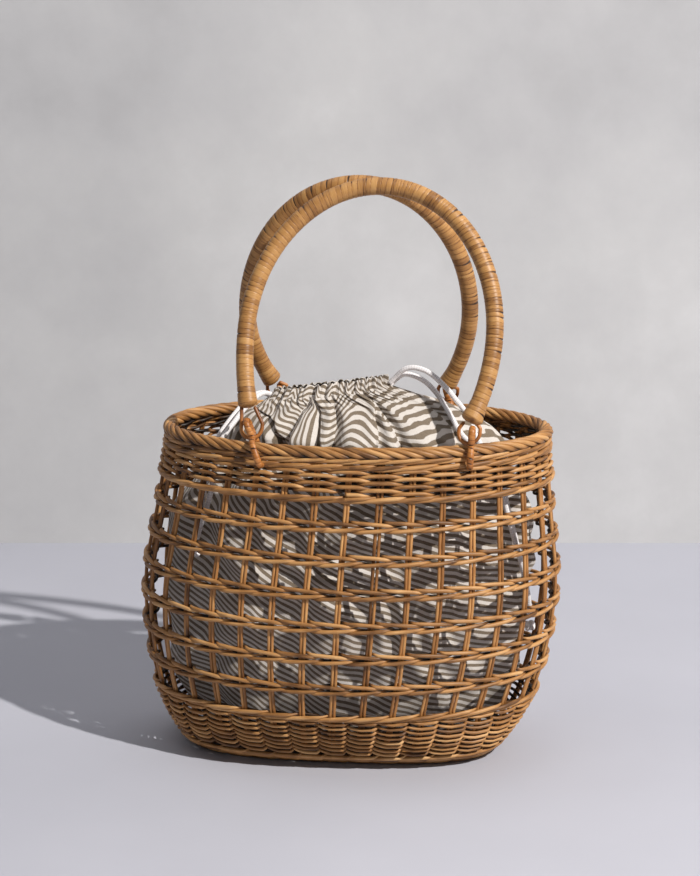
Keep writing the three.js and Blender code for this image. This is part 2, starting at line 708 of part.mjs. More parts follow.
// Liner: a thin cloth bag, open at its drawn neck, with folds that deepen towards the neck
function linerLevels() {
  const inWall = LINER_IN_WALL.map(({ share, easeX, easeY, centre, fold }) => {
    const z = Math.max(share * RIM_HEIGHT, BASE_THICKNESS + CLEARANCE);
    const wall = outerHalfWidth(z);
    const halfWidth = wall - WALL_THICKNESS - easeX;
    const halfDepth = halfDepthFor(wall, z) - WALL_THICKNESS - easeY;
    return { z, halfWidth, halfDepth, centre, fold, tilt: 0, isNeck: false };
  });
  const aboveRim = LINER_ABOVE_RIM.map((level, i) => {
    const isNeck = i >= LINER_ABOVE_RIM.length - 2;
    return { ...level, z: RIM_HEIGHT + level.rise, isNeck };
  });
  return [...inWall, ...aboveRim];
}

function linerRing(level, inset) {
  const ring = [];
  for (let i = 0; i < LINER_SEGMENTS; i += 1) {
    const angle = (2 * Math.PI * i) / LINER_SEGMENTS;
    const wave = level.fold * Math.cos(LINER_FOLDS * angle);
    const halfWidth = level.halfWidth - inset + wave;
    let halfDepth = level.halfDepth - inset + 0.6 * wave;
    if (level.isNeck && inset > 0) halfDepth = NECK_HALF_SLIT;
    const z = level.z + level.tilt * Math.sin(angle);
    ring.push(level.centre + halfWidth * Math.sin(angle), -halfDepth * Math.cos(angle), z);
  }
  return ring;
}

function liner() {
  const levels = linerLevels();
  const outer = levels.map((level) => linerRing(level, 0));
  const inner = levels.map((level, i) => {
    const lifted = i === 0 ? { ...level, z: level.z + CLOTH_THICKNESS } : level;
    return linerRing(lifted, CLOTH_THICKNESS);
  });
  const rings = [...outer, ...inner.reverse()];
  const positions = rings.flat();
  const index = [];
  for (let r = 0; r < rings.length - 1; r += 1) {
    for (let i = 0; i < LINER_SEGMENTS; i += 1) {
      const k = (i + 1) % LINER_SEGMENTS;
      const low = r * LINER_SEGMENTS;
      const high = low + LINER_SEGMENTS;
      index.push(low + i, low + k, high + i);
      index.push(low + k, high + k, high + i);
    }
  }
  const lastRing = (rings.length - 1) * LINER_SEGMENTS;
  for (let i = 1; i < LINER_SEGMENTS - 1; i += 1) {
    index.push(0, i + 1, i);
    index.push(lastRing, lastRing + i, lastRing + i + 1);
  }
  return toGeometry({ positions, index });
}
addMesh('liner', liner(), 'cloth');

// Drawstrings: chosen points from the neck, over the cloth and down between cloth and wall
const DRAWSTRINGS = {
  right: {
    knot: [129.5, -21, 97],
    strands: [
      [[21.7, -2, 264.5], [25.8, -3, 269.3], [31, -5, 274.5], [37.4, -6, 276.4], [45.1, -6.5, 274.9],
        [51.6, -7, 271.3], [57.4, -7, 266.4], [62.9, -6.5, 260.8], [68.4, -6, 254.1],
        [73.6, -5.5, 248], [77.9, -9.5, 243.4], [81, -16.1, 238.8], [83.8, -23.2, 234],
        [87.5, -30.2, 229.6], [92.6, -34.6, 223], [97.5, -37, 215.5], [101.8, -38, 207],
        [105, -38, 197], [109, -37.5, 184], [113, -36.5, 171], [117.5, -35, 157],
        [122, -32.5, 143], [125.5, -29.5, 129], [128, -26, 116], [129, -23, 106]],
      [[21.7, 2, 262], [26.3, 3.2, 266.6], [31.5, 2.2, 270], [38.7, 1, 268.9], [45.9, 0, 265.4],
        [51.4, -1, 260.8], [56.3, -2.5, 255.6], [60.4, -8.1, 251], [64.5, -15.4, 247],
        [68.4, -22.3, 242.9], [71.8, -28.3, 238.8], [76.7, -32.6, 234], [83.6, -35.6, 228.6],
        [90.8, -35.6, 221.3], [97.5, -34, 213], [102.3, -33.2, 205.5], [106, -33, 197.5],
        [109.5, -32.5, 184], [113.5, -31.5, 171], [117.5, -30, 157],
        [121.5, -27.5, 143], [125, -24.5, 129], [127.5, -21.5, 116], [129, -20, 106]],
    ],
  },
  left: {
    knot: [-105, -47, 151],
    strands: [
      [[-61.3, -2, 254.3], [-65.8, -5, 255.8], [-70.5, -10, 254], [-75, -17, 250],
        [-79, -24.5, 245.5], [-82.5, -31.5, 240.5], [-86.5, -37.5, 235], [-90, -42.5, 228.5],
        [-92, -46, 218], [-93, -48.5, 206], [-94.5, -50, 194], [-97.5, -50, 182],
        [-101, -49.5, 170], [-103.5, -48, 160]],
      [[-62.3, 2, 252.8], [-67.8, 2, 254.6], [-73.5, -2.5, 253.5], [-79, -9.5, 249.5],
        [-84, -17, 243.5], [-88.5, -24.5, 237.5], [-92.5, -31, 231], [-95, -36, 223.5],
        [-97.5, -40.5, 214], [-98.5, -43.5, 203], [-100, -45, 192], [-102, -45.5, 180],
        [-103.5, -45.5, 170], [-105, -45.5, 160]],
    ],
  },
};

function strand(route) {
  const curve = new THREE.CatmullRomCurve3(route.map(([x, y, z]) => new THREE.Vector3(x, y, z)));
  const section = new THREE.Shape();
  for (let j = 0; j < 8; j += 1) {
    const angle = (2 * Math.PI * j) / 8;
    const corner = [CORD_RADIUS * Math.cos(angle), CORD_RADIUS * Math.sin(angle)];
    if (j === 0) section.moveTo(...corner);
    else section.lineTo(...corner);
  }
  section.closePath();
  const steps = Math.round(curve.getLength() / (6 * CORD_RADIUS));
  return new THREE.ExtrudeGeometry(section, { steps, extrudePath: curve, bevelEnabled: false });
}

for (const [side, { knot, strands }] of Object.entries(DRAWSTRINGS)) {
  const knotForm = new THREE.IcosahedronGeometry(KNOT_RADIUS, 1);
  knotForm.scale(0.85, 0.85, 1.2);
  knotForm.translate(...knot);
  let tied = toManifold(knotForm);
  for (const route of strands) tied = tied.add(toManifold(strand([...route, knot])));
  addMesh(`drawstring_${side}`, fromManifold(tied), 'cord');
}

export default basket;
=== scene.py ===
"""Oval wicker lunch basket: open fitched lattice, two cane-wound hoop handles and a striped cotton liner.

Everything is in metres, +Z up, +X along the long axis and -Y at the front.
"""
import math

import bpy
import numpy as np
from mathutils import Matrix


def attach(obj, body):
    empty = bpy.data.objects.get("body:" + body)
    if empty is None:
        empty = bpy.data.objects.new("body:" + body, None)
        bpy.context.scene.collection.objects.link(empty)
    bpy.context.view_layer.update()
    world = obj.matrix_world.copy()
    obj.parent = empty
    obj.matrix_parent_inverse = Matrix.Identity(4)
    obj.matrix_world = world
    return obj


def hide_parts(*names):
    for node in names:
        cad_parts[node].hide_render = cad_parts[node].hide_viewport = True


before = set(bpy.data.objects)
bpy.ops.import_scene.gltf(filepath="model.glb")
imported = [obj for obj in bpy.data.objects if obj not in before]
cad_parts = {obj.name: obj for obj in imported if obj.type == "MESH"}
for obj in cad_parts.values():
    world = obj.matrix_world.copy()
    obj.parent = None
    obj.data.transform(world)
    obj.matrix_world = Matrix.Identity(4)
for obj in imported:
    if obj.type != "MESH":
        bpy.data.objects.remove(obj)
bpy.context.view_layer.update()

MM = 0.001
rng = np.random.default_rng(7)

# The wall's outer face: half widths up the wall, and how the oval changes towards the foot
HEEL_HEIGHT = 14 * MM
LATTICE_BOTTOM = 48.3 * MM
WIDEST_HEIGHT = 117 * MM
LATTICE_TOP = 197.9 * MM
RIM_HEIGHT = 229.7 * MM
WALL_HEIGHTS = np.array([0, HEEL_HEIGHT, LATTICE_BOTTOM, WIDEST_HEIGHT, 182 * MM, RIM_HEIGHT])
WALL_HALF_WIDTHS = np.array([106, 121, 140, 150, 142.3, 135.5]) * MM
WIDTH_LESS_DEPTH = 55 * MM
FOOT_TUCK = 12 * MM
FOOT_SQUARENESS = 2.9
LEAN = 0.045
WALL_THICKNESS = 6.5 * MM

# Stakes and weavers
STAKE_PAIRS = 35
STAKE_PHASE = 0.05
STAKE_CROWDING = 0.31
STAKE_DRIFT = 0.18
STAKE_FAN = 0.13
STAKE_RADIUS = 1.15 * MM
STAKE_INSET = 3.84 * MM
ROW_HEIGHTS = [(68.4 + 22.75 * row) * MM for row in range(6)]

# Handles, each in a plane through its hinge axis
BORDER_RADIUS = 6 * MM
CLEARANCE = 0.3 * MM
GRIP_RADIUS = 5.9 * MM
CROWN_RISE = 174.7 * MM
SHOULDER_RISE = 72 * MM
RING_WIRE_RADIUS = 1.3 * MM
RING_HALF_WIDTH = 7.1 * MM
RING_STRAIGHT = 3 * MM
RING_SHIFT = 1.95 * MM
STRAP_RADIUS = 2.2 * MM
STRAP_SLANT = 0.315
HINGE_Z = RIM_HEIGHT + BORDER_RADIUS + CLEARANCE + RING_WIRE_RADIUS


def hoop_foot(leg, inset, rise, flare, strap_x, slant=0.0):
    """One end of a hoop, on the left (-1) or the right (1), with its lengths in mm."""
    lengths = {"inset": inset, "rise": rise, "flare": flare, "strap_x": strap_x}
    foot = {key: value * MM for key, value in lengths.items()}
    return {"leg": leg, "hand": "left" if leg < 0 else "right", "slant": slant, **foot}


HANDLES = {
    "front": {
        "side": -1, "seed": 71, "hinge_y": -63.872 * MM, "centre": 9 * MM, "half_width": 84.3 * MM,
        "feet": [hoop_foot(-1, 6, 21, 0.9, -64, STRAP_SLANT), hoop_foot(1, 12.2, 14, 2.1, 83)],
    },
    "rear": {
        "side": 1, "seed": 83, "hinge_y": 68.072 * MM, "centre": -7 * MM, "half_width": 79.6 * MM,
        "feet": [hoop_foot(-1, 18.5, 12.5, 1.2, -64), hoop_foot(1, 15, 12.5, 1.2, 61, STRAP_SLANT)],
    },
}


# Camera at the photograph's angle
CAMERA_PLACE = (0.1558, -1.5008, 0.5846)
CAMERA_TILT = math.radians(76.55)
CAMERA_TURN = math.radians(5.92)
CAMERA_LENS = 113.72


def placed(name, data):
    """A new object in the scene for a mesh, a lamp or the camera."""
    thing = bpy.data.objects.new(name, data)
    bpy.context.scene.collection.objects.link(thing)
    return thing


def make_camera():
    data = bpy.data.cameras.new("camera")
    data.sensor_fit = "HORIZONTAL"
    data.sensor_width = 36
    data.lens = CAMERA_LENS
    camera = placed("camera", data)
    camera.location = CAMERA_PLACE
    camera.rotation_euler = (CAMERA_TILT, 0, CAMERA_TURN)
    bpy.context.scene.camera = camera


make_camera()


# Wall geometry
def smooth(t):
    return t * t * (3 - 2 * t)


def ease_between(value, low, high):
    return smooth(np.clip((value - low) / (high - low), 0, 1))


def bell(value, centre, width, power=2):
    return np.exp(-(np.abs((value - centre) / width) ** power))


def unit(vectors):
    return vectors / np.maximum(np.linalg.norm(vectors, axis=-1, keepdims=True), 1e-12)


def lengths_along(path):
    return np.r_[0, np.cumsum(np.linalg.norm(np.diff(path, axis=0), axis=1))]


def hermite(places, values, slopes, at):
    """A smooth line through a few stations; values may be rows of several numbers."""
    i = np.clip(np.searchsorted(places, at, side="right") - 1, 0, len(places) - 2)
    span = places[i + 1] - places[i]
    t = (at - places[i]) / span
    if values.ndim > 1:
        t, span = t[..., None], span[..., None]
    ends = t * (1 - t) ** 2 * span * slopes[i] + t * t * (t - 1) * span * slopes[i + 1]
    return values[i] * (1 - smooth(t)) + values[i + 1] * smooth(t) + ends


widths, levels = (np.pad(line, 1, mode="edge") for line in (WALL_HALF_WIDTHS, WALL_HEIGHTS))
WALL_SLOPES = (widths[2:] - widths[:-2]) / (levels[2:] - levels[:-2])


def wall_half_width(z):
    return hermite(WALL_HEIGHTS, WALL_HALF_WIDTHS, WALL_SLOPES, z)


GIRTH_STEPS = 720
girth_angles = np.linspace(0, math.tau, GIRTH_STEPS + 1)
mid_angles = (girth_angles[1:] + girth_angles[:-1]) / 2
widest = WALL_HALF_WIDTHS.max()
girth_lengths = np.hypot(widest * np.cos(mid_angles), (widest - WIDTH_LESS_DEPTH) * np.sin(mid_angles))
girth_shares = np.r_[0, np.cumsum(girth_lengths)] / girth_lengths.sum()


def angle_at_share(share):
    turns = np.floor(share)
    return math.tau * turns + np.interp(share - turns, girth_shares, girth_angles)


def half_depth_for(half_width, z):
    return half_width - WIDTH_LESS_DEPTH - FOOT_TUCK * np.maximum(1 - z / HEEL_HEIGHT, 0) ** 2


def oval(half_width, angle, z):
    """Points on the body's oval of a half width, at an angle from the front towards +X."""
    power = 2 + (FOOT_SQUARENESS - 2) * np.maximum(1 - z / LATTICE_BOTTOM, 0)
    across, along = np.sin(angle), -np.cos(angle)
    reach = (np.abs(across) ** power + np.abs(along) ** power) ** (-1 / power)
    half_depth = half_depth_for(half_width, z)
    points = [half_width * across * reach, half_depth * along * reach, z + 0 * angle]
    return np.stack(points, axis=-1)


# How far up the front face a height lies, measured along the face
climb_heights = np.linspace(0, RIM_HEIGHT, 400)
climb_depths = half_depth_for(wall_half_width(climb_heights), climb_heights)
climbs = lengths_along(np.stack([climb_heights, climb_depths], axis=1))


def climb_of(z):
    return np.interp(z, climb_heights, climbs)


def height_of(climb):
    return np.interp(climb, climbs, climb_heights)


def stake_surface(pitch, climb):
    z = height_of(climb)
    above_middle = (z - LATTICE_BOTTOM) / (LATTICE_TOP - LATTICE_BOTTOM) - 0.5
    turn = math.tau * pitch / STAKE_PAIRS
    drift = (STAKE_DRIFT + STAKE_FAN * np.sin(2 * turn)) * above_middle
    share = (pitch + STAKE_PHASE + STAKE_CROWDING * np.sin(turn) + drift) / STAKE_PAIRS
    return oval(wall_half_width(z) - STAKE_INSET, angle_at_share(share), z)


def wall(pitch, climb, depth=0.0):
    """Points at a place round the wall in stake pitches, a climb up it, and a depth outward of the stakes."""
    pitch, climb, depth = np.broadcast_arrays(pitch, climb, depth)
    ahead = stake_surface(pitch + 0.02, climb) - stake_surface(pitch - 0.02, climb)
    up = stake_surface(pitch, climb + 0.5 * MM) - stake_surface(pitch, climb - 0.5 * MM)
    outward = unit(np.cross(ahead, up))
    return stake_surface(pitch, climb) + outward * depth[..., None], outward


def leaned(points):
    shifted = np.array(points, float)
    shifted[..., 0] += LEAN * (shifted[..., 2] - WIDEST_HEIGHT)
    return shifted


def scattered(count, seed):
    return np.random.default_rng(seed).uniform(-1, 1, count)


def blend(values, at):
    """Values one step apart, with smooth passages between them. They join up at the end."""
    i = np.floor(at).astype(int)
    t = smooth(at - i)
    return values[i % len(values)] * (1 - t) + values[(i + 1) % len(values)] * t


def smooth_noise(places, step, seed):
    """A soft random line from -1 to 1 along places, with one random value every step."""
    first = math.floor(places.min() / step) - 1
    count = math.ceil((places.max() - places.min()) / step) + 4
    return blend(scattered(count, seed), places / step - first)


def loop_noise(place, turns, step, seed):
    """A soft random line round the wall that ends as it begins."""
    length = STAKE_PAIRS * turns
    count = round(length / step)
    return blend(scattered(count, seed), (place % length) / length * count)


# Strands: many tubes in one mesh, with a shade and a grain for the material. A rounded end runs on
# by a length in radii, with three rings at these shares of that length and of the radius
TIP_LENGTH = 0.9
TIP_REACH = np.array([1.0, 0.7, 0.3])
TIP_SCALE = np.array([0.22, 0.7, 0.94])


def with_tips(path, radius, *others):
    """Adds rounded ends to an open strand."""
    start = unit(path[0] - path[1]) * radius[0] * TIP_LENGTH
    end = unit(path[-1] - path[-2]) * radius[-1] * TIP_LENGTH
    head = path[0] + start * TIP_REACH[:, None]
    tail = path[-1] + end * TIP_REACH[::-1, None]
    wider = np.r_[radius[0] * TIP_SCALE, radius, radius[-1] * TIP_SCALE[::-1]]
    repeat = np.pad(np.arange(len(path)), len(TIP_REACH), mode="edge")
    return (np.r_[head, path, tail], wider, *[other[repeat] for other in others])


def angles_round(sides):
    return math.tau * np.arange(sides) / sides


def tube_rings(path, guide, size, closed=False, shape=(1.0, 1.0)):
    """Rings round a path, from a radius for each point and side. The guide leads to the first side."""
    tangent = unit(np.roll(path, -1, 0) - np.roll(path, 1, 0) if closed else np.gradient(path, axis=0))
    across = unit(guide - tangent * np.sum(guide * tangent, axis=1, keepdims=True))
    side = np.cross(tangent, across)
    angle = angles_round(size.shape[1])
    ring = across[:, None] * (shape[0] * np.cos(angle))[:, None]
    ring = ring + side[:, None] * (shape[1] * np.sin(angle))[:, None]
    return path[:, None] + ring * size[..., None]


class Strands:
    """Collects tubes and builds them as one mesh object."""

    def __init__(self):
        self.tubes = []
        self.count = 0

    def add(self, path, radius, shade=0.5, guide=(0, 0, 1), sides=8, flat=1.0, closed=False):
        path = np.asarray(path, float)
        radius, shade = (np.broadcast_to(value, len(path)).astype(float) for value in (radius, shade))
        guide = np.broadcast_to(guide, path.shape).astype(float)
        if not closed:
            path, radius, shade, guide = with_tips(path, radius, shade, guide)
        size = np.broadcast_to(radius[:, None], (len(path), sides))
        self.add_rings(tube_rings(path, guide, size, closed, (flat, 1.0)), shade[:, None], closed)

    def add_rings(self, rings, shade, closed=False, grain=None):
        """Adds a tube from its rings of points, as an array of samples by sides."""
        samples, sides = rings.shape[:2]
        start = rng.uniform(0, 10)
        if grain is None:
            centre = rings.mean(axis=1)
            size = np.linalg.norm(rings - centre[:, None], axis=2)
            along = lengths_along(centre)[:, None] + start + 0 * size
            angle = angles_round(sides)
            grain = np.stack([along, size * np.cos(angle), size * np.sin(angle)], axis=-1)
        here = np.arange(samples if closed else samples - 1)[:, None] * sides
        ahead = (here + sides) % (samples * sides)
        j = np.arange(sides)
        k = (j + 1) % sides
        faces = np.stack([here + j, here + k, ahead + k, ahead + j], axis=-1).reshape(-1, 4)
        if not closed:
            i = np.arange(sides // 2 - 1)
            cap = np.stack([i, i + 1, sides - 2 - i, sides - 1 - i], axis=-1)
            faces = np.r_[faces, cap[:, ::-1], cap + (samples - 1) * sides]
        shade = np.broadcast_to(shade, (samples, sides)).reshape(-1)
        self.tubes.append((rings.reshape(-1, 3), faces + self.count, shade, grain.reshape(-1, 3)))
        self.count += samples * sides

    def build(self, name, material, body, node):
        """One piece of all the tubes, which rides on a body and stands for a node."""
        points, faces, shade, grain = (np.concatenate(part) for part in zip(*self.tubes))
        piece = mesh_object(name, leaned(points), faces, material, {"shade": shade, "grain": grain})
        return dress(piece, body, node)


def mesh_object(name, points, faces, material, at_points=None, at_corners=None):
    """A smooth mesh of four-sided faces, with named values on its points or on its faces' corners."""
    mesh = bpy.data.meshes.new(name)
    mesh.vertices.add(len(points))
    mesh.vertices.foreach_set("co", np.asarray(points, np.float32).ravel())
    mesh.loops.add(faces.size)
    mesh.loops.foreach_set("vertex_index", faces.astype(np.int32).ravel())
    mesh.polygons.add(len(faces))
    mesh.polygons.foreach_set("loop_start", np.arange(0, faces.size, 4, dtype=np.int32))
    mesh.polygons.foreach_set("use_smooth", np.ones(len(faces), bool))
    for domain, attributes in (("POINT", at_points or {}), ("CORNER", at_corners or {})):
        for key, values in attributes.items():
            kind, field = ("FLOAT", "value") if values.ndim == 1 else ("FLOAT_VECTOR", "vector")
            data = mesh.attributes.new(key, kind, domain).data
            data.foreach_set(field, values.astype(np.float32).ravel())
    mesh.update(calc_edges=True)
    mesh.materials.append(material)
    return placed(name, mesh)


def dress(piece, body, node):
    """The piece rides on a body and stands for a node, whose part it hides."""
    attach(piece, body)
    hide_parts(node)
    return piece


# Materials
def srgb(text):
    values = [int(text[i:i + 2], 16) / 255 for i in (0, 2, 4)]
    linear = [v / 12.92 if v <= 0.04045 else ((v + 0.055) / 1.055) ** 2.4 for v in values]
    return (*linear, 1.0)


class Nodes:
    """Short calls that add shader nodes to a material or the world and link them."""

    def __init__(self, owner):
        owner.use_nodes = True
        self.owner = owner
        self.tree = owner.node_tree

    def fill(self, node, output, inputs):
        """Sets or links a node's inputs and gives one of its outputs."""
        for socket, value in dict(inputs).items():
            if isinstance(value, bpy.types.NodeSocket):
                self.tree.links.new(value, node.inputs[socket])
            else:
                node.inputs[socket].default_value = value
        return node.outputs[output]

    def add(self, kind, output, inputs=(), **settings):
        node = self.tree.nodes.new("ShaderNode" + kind)
        for key, value in settings.items():
            setattr(node, key, value)
        return self.fill(node, output, inputs)

    def attribute(self, name, output="Fac"):
        return self.add("Attribute", output, attribute_name=name)

    def noise(self, vector, scale, detail=3.0, roughness=0.5):
        """Clouds of a scale, or of a scale along each axis."""
        if isinstance(scale, tuple):
            vector = self.add("VectorMath", "Vector", {0: vector, 1: scale}, operation="MULTIPLY")
            scale = 1.0
        inputs = {"Vector": vector, "Scale": scale, "Detail": detail, "Roughness": roughness}
        return self.add("TexNoise", "Fac", inputs)

    def math(self, operation, a, b=0.0, c=0.0):
        return self.add("Math", "Value", {0: a, 1: b, 2: c}, operation=operation)

    def ramp(self, value, stops):
        colour = self.add("ValToRGB", "Color", {"Fac": value})
        elements = colour.node.color_ramp.elements
        while len(elements) < len(stops):
            elements.new(1.0)
        for element, (place, text) in zip(elements, stops):
            element.position = place
            element.color = srgb(text)
        return colour

    def surface(self, colour, roughness, sheen=0.0, relief=None, strength=0.0, distance=0.0):
        """Gives the material its colour, roughness and sheen, and a relief if it has one."""
        inputs = {"Base Color": colour, "Roughness": roughness, "Sheen Weight": sheen}
        if relief:
            bump = {"Strength": strength, "Distance": distance, "Height": relief}
            inputs["Normal"] = self.add("Bump", "Normal", bump)
        return self.fill(self.tree.nodes["Principled BSDF"], "BSDF", inputs)

    def blend_to_output(self, share, first, second):
        """The output shows the first shader, and the second where the share is 1."""
        mixed = self.add("MixShader", "Shader", {"Fac": share, 1: first, 2: second})
        output = next(node for node in self.tree.nodes if node.type.startswith("OUTPUT"))
        self.tree.links.new(mixed, output.inputs["Surface"])


def rod_material(name, colours, roughness=0.5, patchy=0.8):
    """Peeled and smoked willow or cane: streaks run along each rod, and rods differ in shade."""
    nodes = Nodes(bpy.data.materials.new(name))
    grain = nodes.attribute("grain", "Vector")
    streaks = nodes.noise(grain, (90, 1600, 1600), 4.0, 0.6)
    blotches = nodes.noise(grain, (55, 120, 120), 2.0)
    tone = nodes.attribute("shade")
    for pattern, strength in ((streaks, 0.55), (blotches, patchy)):
        tone = nodes.math("MULTIPLY_ADD", nodes.math("SUBTRACT", pattern, 0.5), strength, tone)
    colour = nodes.ramp(tone, list(zip((0.0, 0.25, 0.5, 0.75, 1.0), colours)))
    worn = nodes.math("MULTIPLY_ADD", streaks, 0.25, roughness - 0.12)
    nodes.surface(colour, worn, 0.0, streaks, 0.35, 0.25 * MM)
    return nodes.owner


# The dark end of each ramp also colours the painted shade in crevices, gaps and under the border strokes
willow = rod_material("willow", ["1c0e05", "68431f", "a97742", "cb9b63", "dcb27c"])
stake_willow = rod_material("stake_willow", ["281508", "71481f", "a9743f", "c8945a", "d8ab72"])
wound_cane = rod_material("wound_cane", ["2e1907", "80552a", "b3824a", "c89a60", "d6ad76"], 0.45, 0.45)
binding_cane = rod_material("binding_cane", ["1f0e04", "6e3e18", "a9692f", "c98a4c", "d8a163"], 0.42)


# Fitched lattice: pairs of stakes, which run on inside both bands
STAKE_FOOT = 22 * MM
STAKE_HEAD = 224 * MM
STAKE_SAMPLES = 64
STAKE_WOBBLE = 0.35 * MM


def stake_pair(pair):
    strands = Strands()
    climb = np.linspace(climb_of(STAKE_FOOT), climb_of(STAKE_HEAD), STAKE_SAMPLES)
    for rod in (-1, 1):
        seed = 20 * pair + rod + 1
        sideways = rod * STAKE_RADIUS * 0.98 + STAKE_WOBBLE * smooth_noise(climb, 45 * MM, seed)
        depth = 0.6 * STAKE_WOBBLE * smooth_noise(climb, 38 * MM, seed + 3)
        centre, outward = wall(float(pair), climb, depth)
        ahead = unit(np.cross(np.gradient(centre, axis=0), outward))
        radius = STAKE_RADIUS * (1 + 0.06 * smooth_noise(climb, 60 * MM, seed + 5))
        shade = 0.5 + 0.16 * rng.uniform(-1, 1) + 0.12 * smooth_noise(climb, 30 * MM, seed + 7)
        strands.add(centre - ahead * sideways[:, None], radius, shade, outward)
    number = f"{pair + 1:02d}"
    strands.build(f"willow_pair_{number}", stake_willow, "basket", f"stake_pair_{number}")


# Weavers follow knots of place in stake pitches, and repeat after a period of pitches
def repeated(place, period, knots, blur=0.13):
    """A line through repeated knots of place and value, with rounded corners."""
    places, values = np.array(knots, float).T
    taps = np.linspace(-1, 1, 7)
    weights = 1 - 0.75 * np.abs(taps)
    parts = [w * np.interp(place + blur * t, places, values, period=period) for t, w in zip(taps, weights)]
    return sum(parts) / weights.sum()


def in_mm(*knots):
    """Knots of place and value, whose values are given in mm."""
    return [(place, value * MM) for place, value in knots]


# Samples in a stake pitch, and how much painted shade darkens a weaver where it dives in between the others
ROUND_SAMPLES = 16
CREVICE_SHADE = 0.55


def weave(strands, base, turns, period, rise, depth, radius, seed, taper, start=0.0, climb_per_turn=0.0,
          blur=0.13, liveliness=0.25 * MM):
    """One long weaver round the wall: rise, depth and taper are knots over a period of stakes."""
    closed = climb_per_turn == 0.0
    count = STAKE_PAIRS * turns * ROUND_SAMPLES
    place = np.arange(count if closed else count + 1) / ROUND_SAMPLES
    local = place + start
    wander, waver, swell, tone, fleck = (
        loop_noise(place, turns, step, seed + i) for i, step in enumerate((1.7, 1.3, 2.5, 2.0, 6.0))
    )
    up = base + climb_per_turn * place / STAKE_PAIRS
    up = up + repeated(local, period, rise, blur) + liveliness * wander
    out = repeated(local, period, depth, blur) + 0.5 * liveliness * waver
    path, outward = wall(place, up, out)
    thick = radius * (1 + 0.05 * swell) * repeated(local, period, taper, 0.08)
    # Painted shade: the weaver is darker where it dives in behind the stakes and the others
    shade = 0.5 + 0.2 * tone + 0.1 * fleck - CREVICE_SHADE * ease_between(-out, -0.9 * MM, 1.6 * MM)
    strands.add(path, thick, shade, outward, closed=closed)


FITCH_DEPTH = 2.25 * MM
FITCH_RADIUS = 1.4 * MM
UPPER_TWIST = in_mm((-0.87, 1.5), (0.0, 0.1), (0.58, -1.5), (0.95, -0.3))
LOWER_TWIST = in_mm((-0.67, -1.1), (0.0, -0.2), (0.58, 1.1), (0.85, -0.4), (1.1, -0.9))
UPPER_IN_AND_OUT = [(place, share * FITCH_DEPTH) for place, share in (
    (-0.74, 0.75), (-0.4, 1), (0.3, 1), (0.7, -1), (1.12, -1),
)]
LOWER_IN_AND_OUT = [(place, share * FITCH_DEPTH) for place, share in (
    (-0.64, 0.75), (-0.3, 1), (0.42, 1), (0.84, -1), (1.14, -1),
)]
FITCH_TAPER = [(-0.85, 0.75), (-0.45, 1.0), (0.25, 1.0), (0.6, 0.6), (1.0, 0.75)]
# The upper and the lower of a row's two lines: height, twist, way in and out, share of the radius and start
FITCH_LINES = [
    (2.25 * MM, UPPER_TWIST, UPPER_IN_AND_OUT, 1.0, 0.0),
    (-1.95 * MM, LOWER_TWIST, LOWER_IN_AND_OUT, 1.05, 1.0),
]


def fitched_row(row):
    strands = Strands()
    base = climb_of(ROW_HEIGHTS[row])
    for line, (height, twist, in_and_out, share, start) in enumerate(FITCH_LINES):
        weave(strands, base + height, 2, 2, twist, in_and_out, share * FITCH_RADIUS,
              900 + 20 * row + 10 * line, FITCH_TAPER, start=start, blur=0.09)
    strands.build(f"twined_row_{row + 1}", willow, "basket", f"fitching_row_{row + 1}")


# Close-woven bands
PAIRING_RADIUS = 1.14 * MM
LOWER_ROWS = 8
LOWER_FIRST_HEIGHT = 15.1 * MM
LOWER_LAST_HEIGHT = 42 * MM
SMILE = in_mm((-0.6, 1.5), (-0.3, 0.1), (0.0, -0.5), (0.42, 0.4), (0.6, 0.9), (1.0, 1.4))
PAIRING_IN_AND_OUT = in_mm(
    (-0.55, -0.2), (-0.3, 1.5), (0.0, 2.4), (0.46, 2.9), (0.58, -1.2), (1.0, -2.6), (1.3, -1.6),
)
PAIRING_TAPER = [(-0.5, 0.85), (0.0, 1.0), (0.5, 1.05), (0.6, 0.8), (1.2, 0.8)]
WALE_RISE = in_mm((-1.2, -2.0), (0.71, 2.2), (1.2, 0.6), (1.8, -2.0))
FOOT_WALE_RISE = in_mm((-1.2, -1.1), (0.71, 1.2), (1.2, 0.4), (1.8, -1.1))
LONG_WALE_RISE = in_mm((-1.0, -1.5), (0.8, 1.5), (1.3, 0.2), (1.9, -1.5))
WALE_IN_AND_OUT = in_mm((-1.2, 1.2), (-0.2, 2.7), (0.65, 2.9), (0.95, -1.2), (1.5, -2.4))
WALE_TAPER = [(-1.2, 0.85), (0.0, 1.05), (0.5, 1.0), (0.74, 0.62), (1.4, 0.8)]
FOOT_HEIGHT, FOOT_ROUND_PITCH, FOOT_RADIUS = 3.0 * MM, 3.9 * MM, 1.5 * MM
HEEL_WALE_HEIGHT, HEEL_ROUND_PITCH, HEEL_WALE_RADIUS = 9.0 * MM, 3.6 * MM, 1.35 * MM
TOP_WALE_HEIGHT, TOP_WALE_RADIUS = 45.6 * MM, 1.4 * MM
UPPER_WALE_HEIGHT, UPPER_WALE_RADIUS = 200.6 * MM, 1.6 * MM
RIM_WALE_HEIGHTS, RIM_WALE_RADIUS = [221.9 * MM, 226.3 * MM], 1.5 * MM


def wale(strands, base, radius, seed, rise=FOOT_WALE_RISE, start=0.0):
    """A round of three rods that each pass two stakes in front and one behind."""
    weave(strands, base, 3, 3, rise, WALE_IN_AND_OUT, radius, seed, WALE_TAPER, start=start)


def foot_wale():
    strands = Strands()
    for row in range(2):
        wale(strands, climb_of(FOOT_HEIGHT) + row * FOOT_ROUND_PITCH, FOOT_RADIUS, 2000 + 10 * row)
    strands.build("foot_rounds", willow, "basket", "foot_wale")


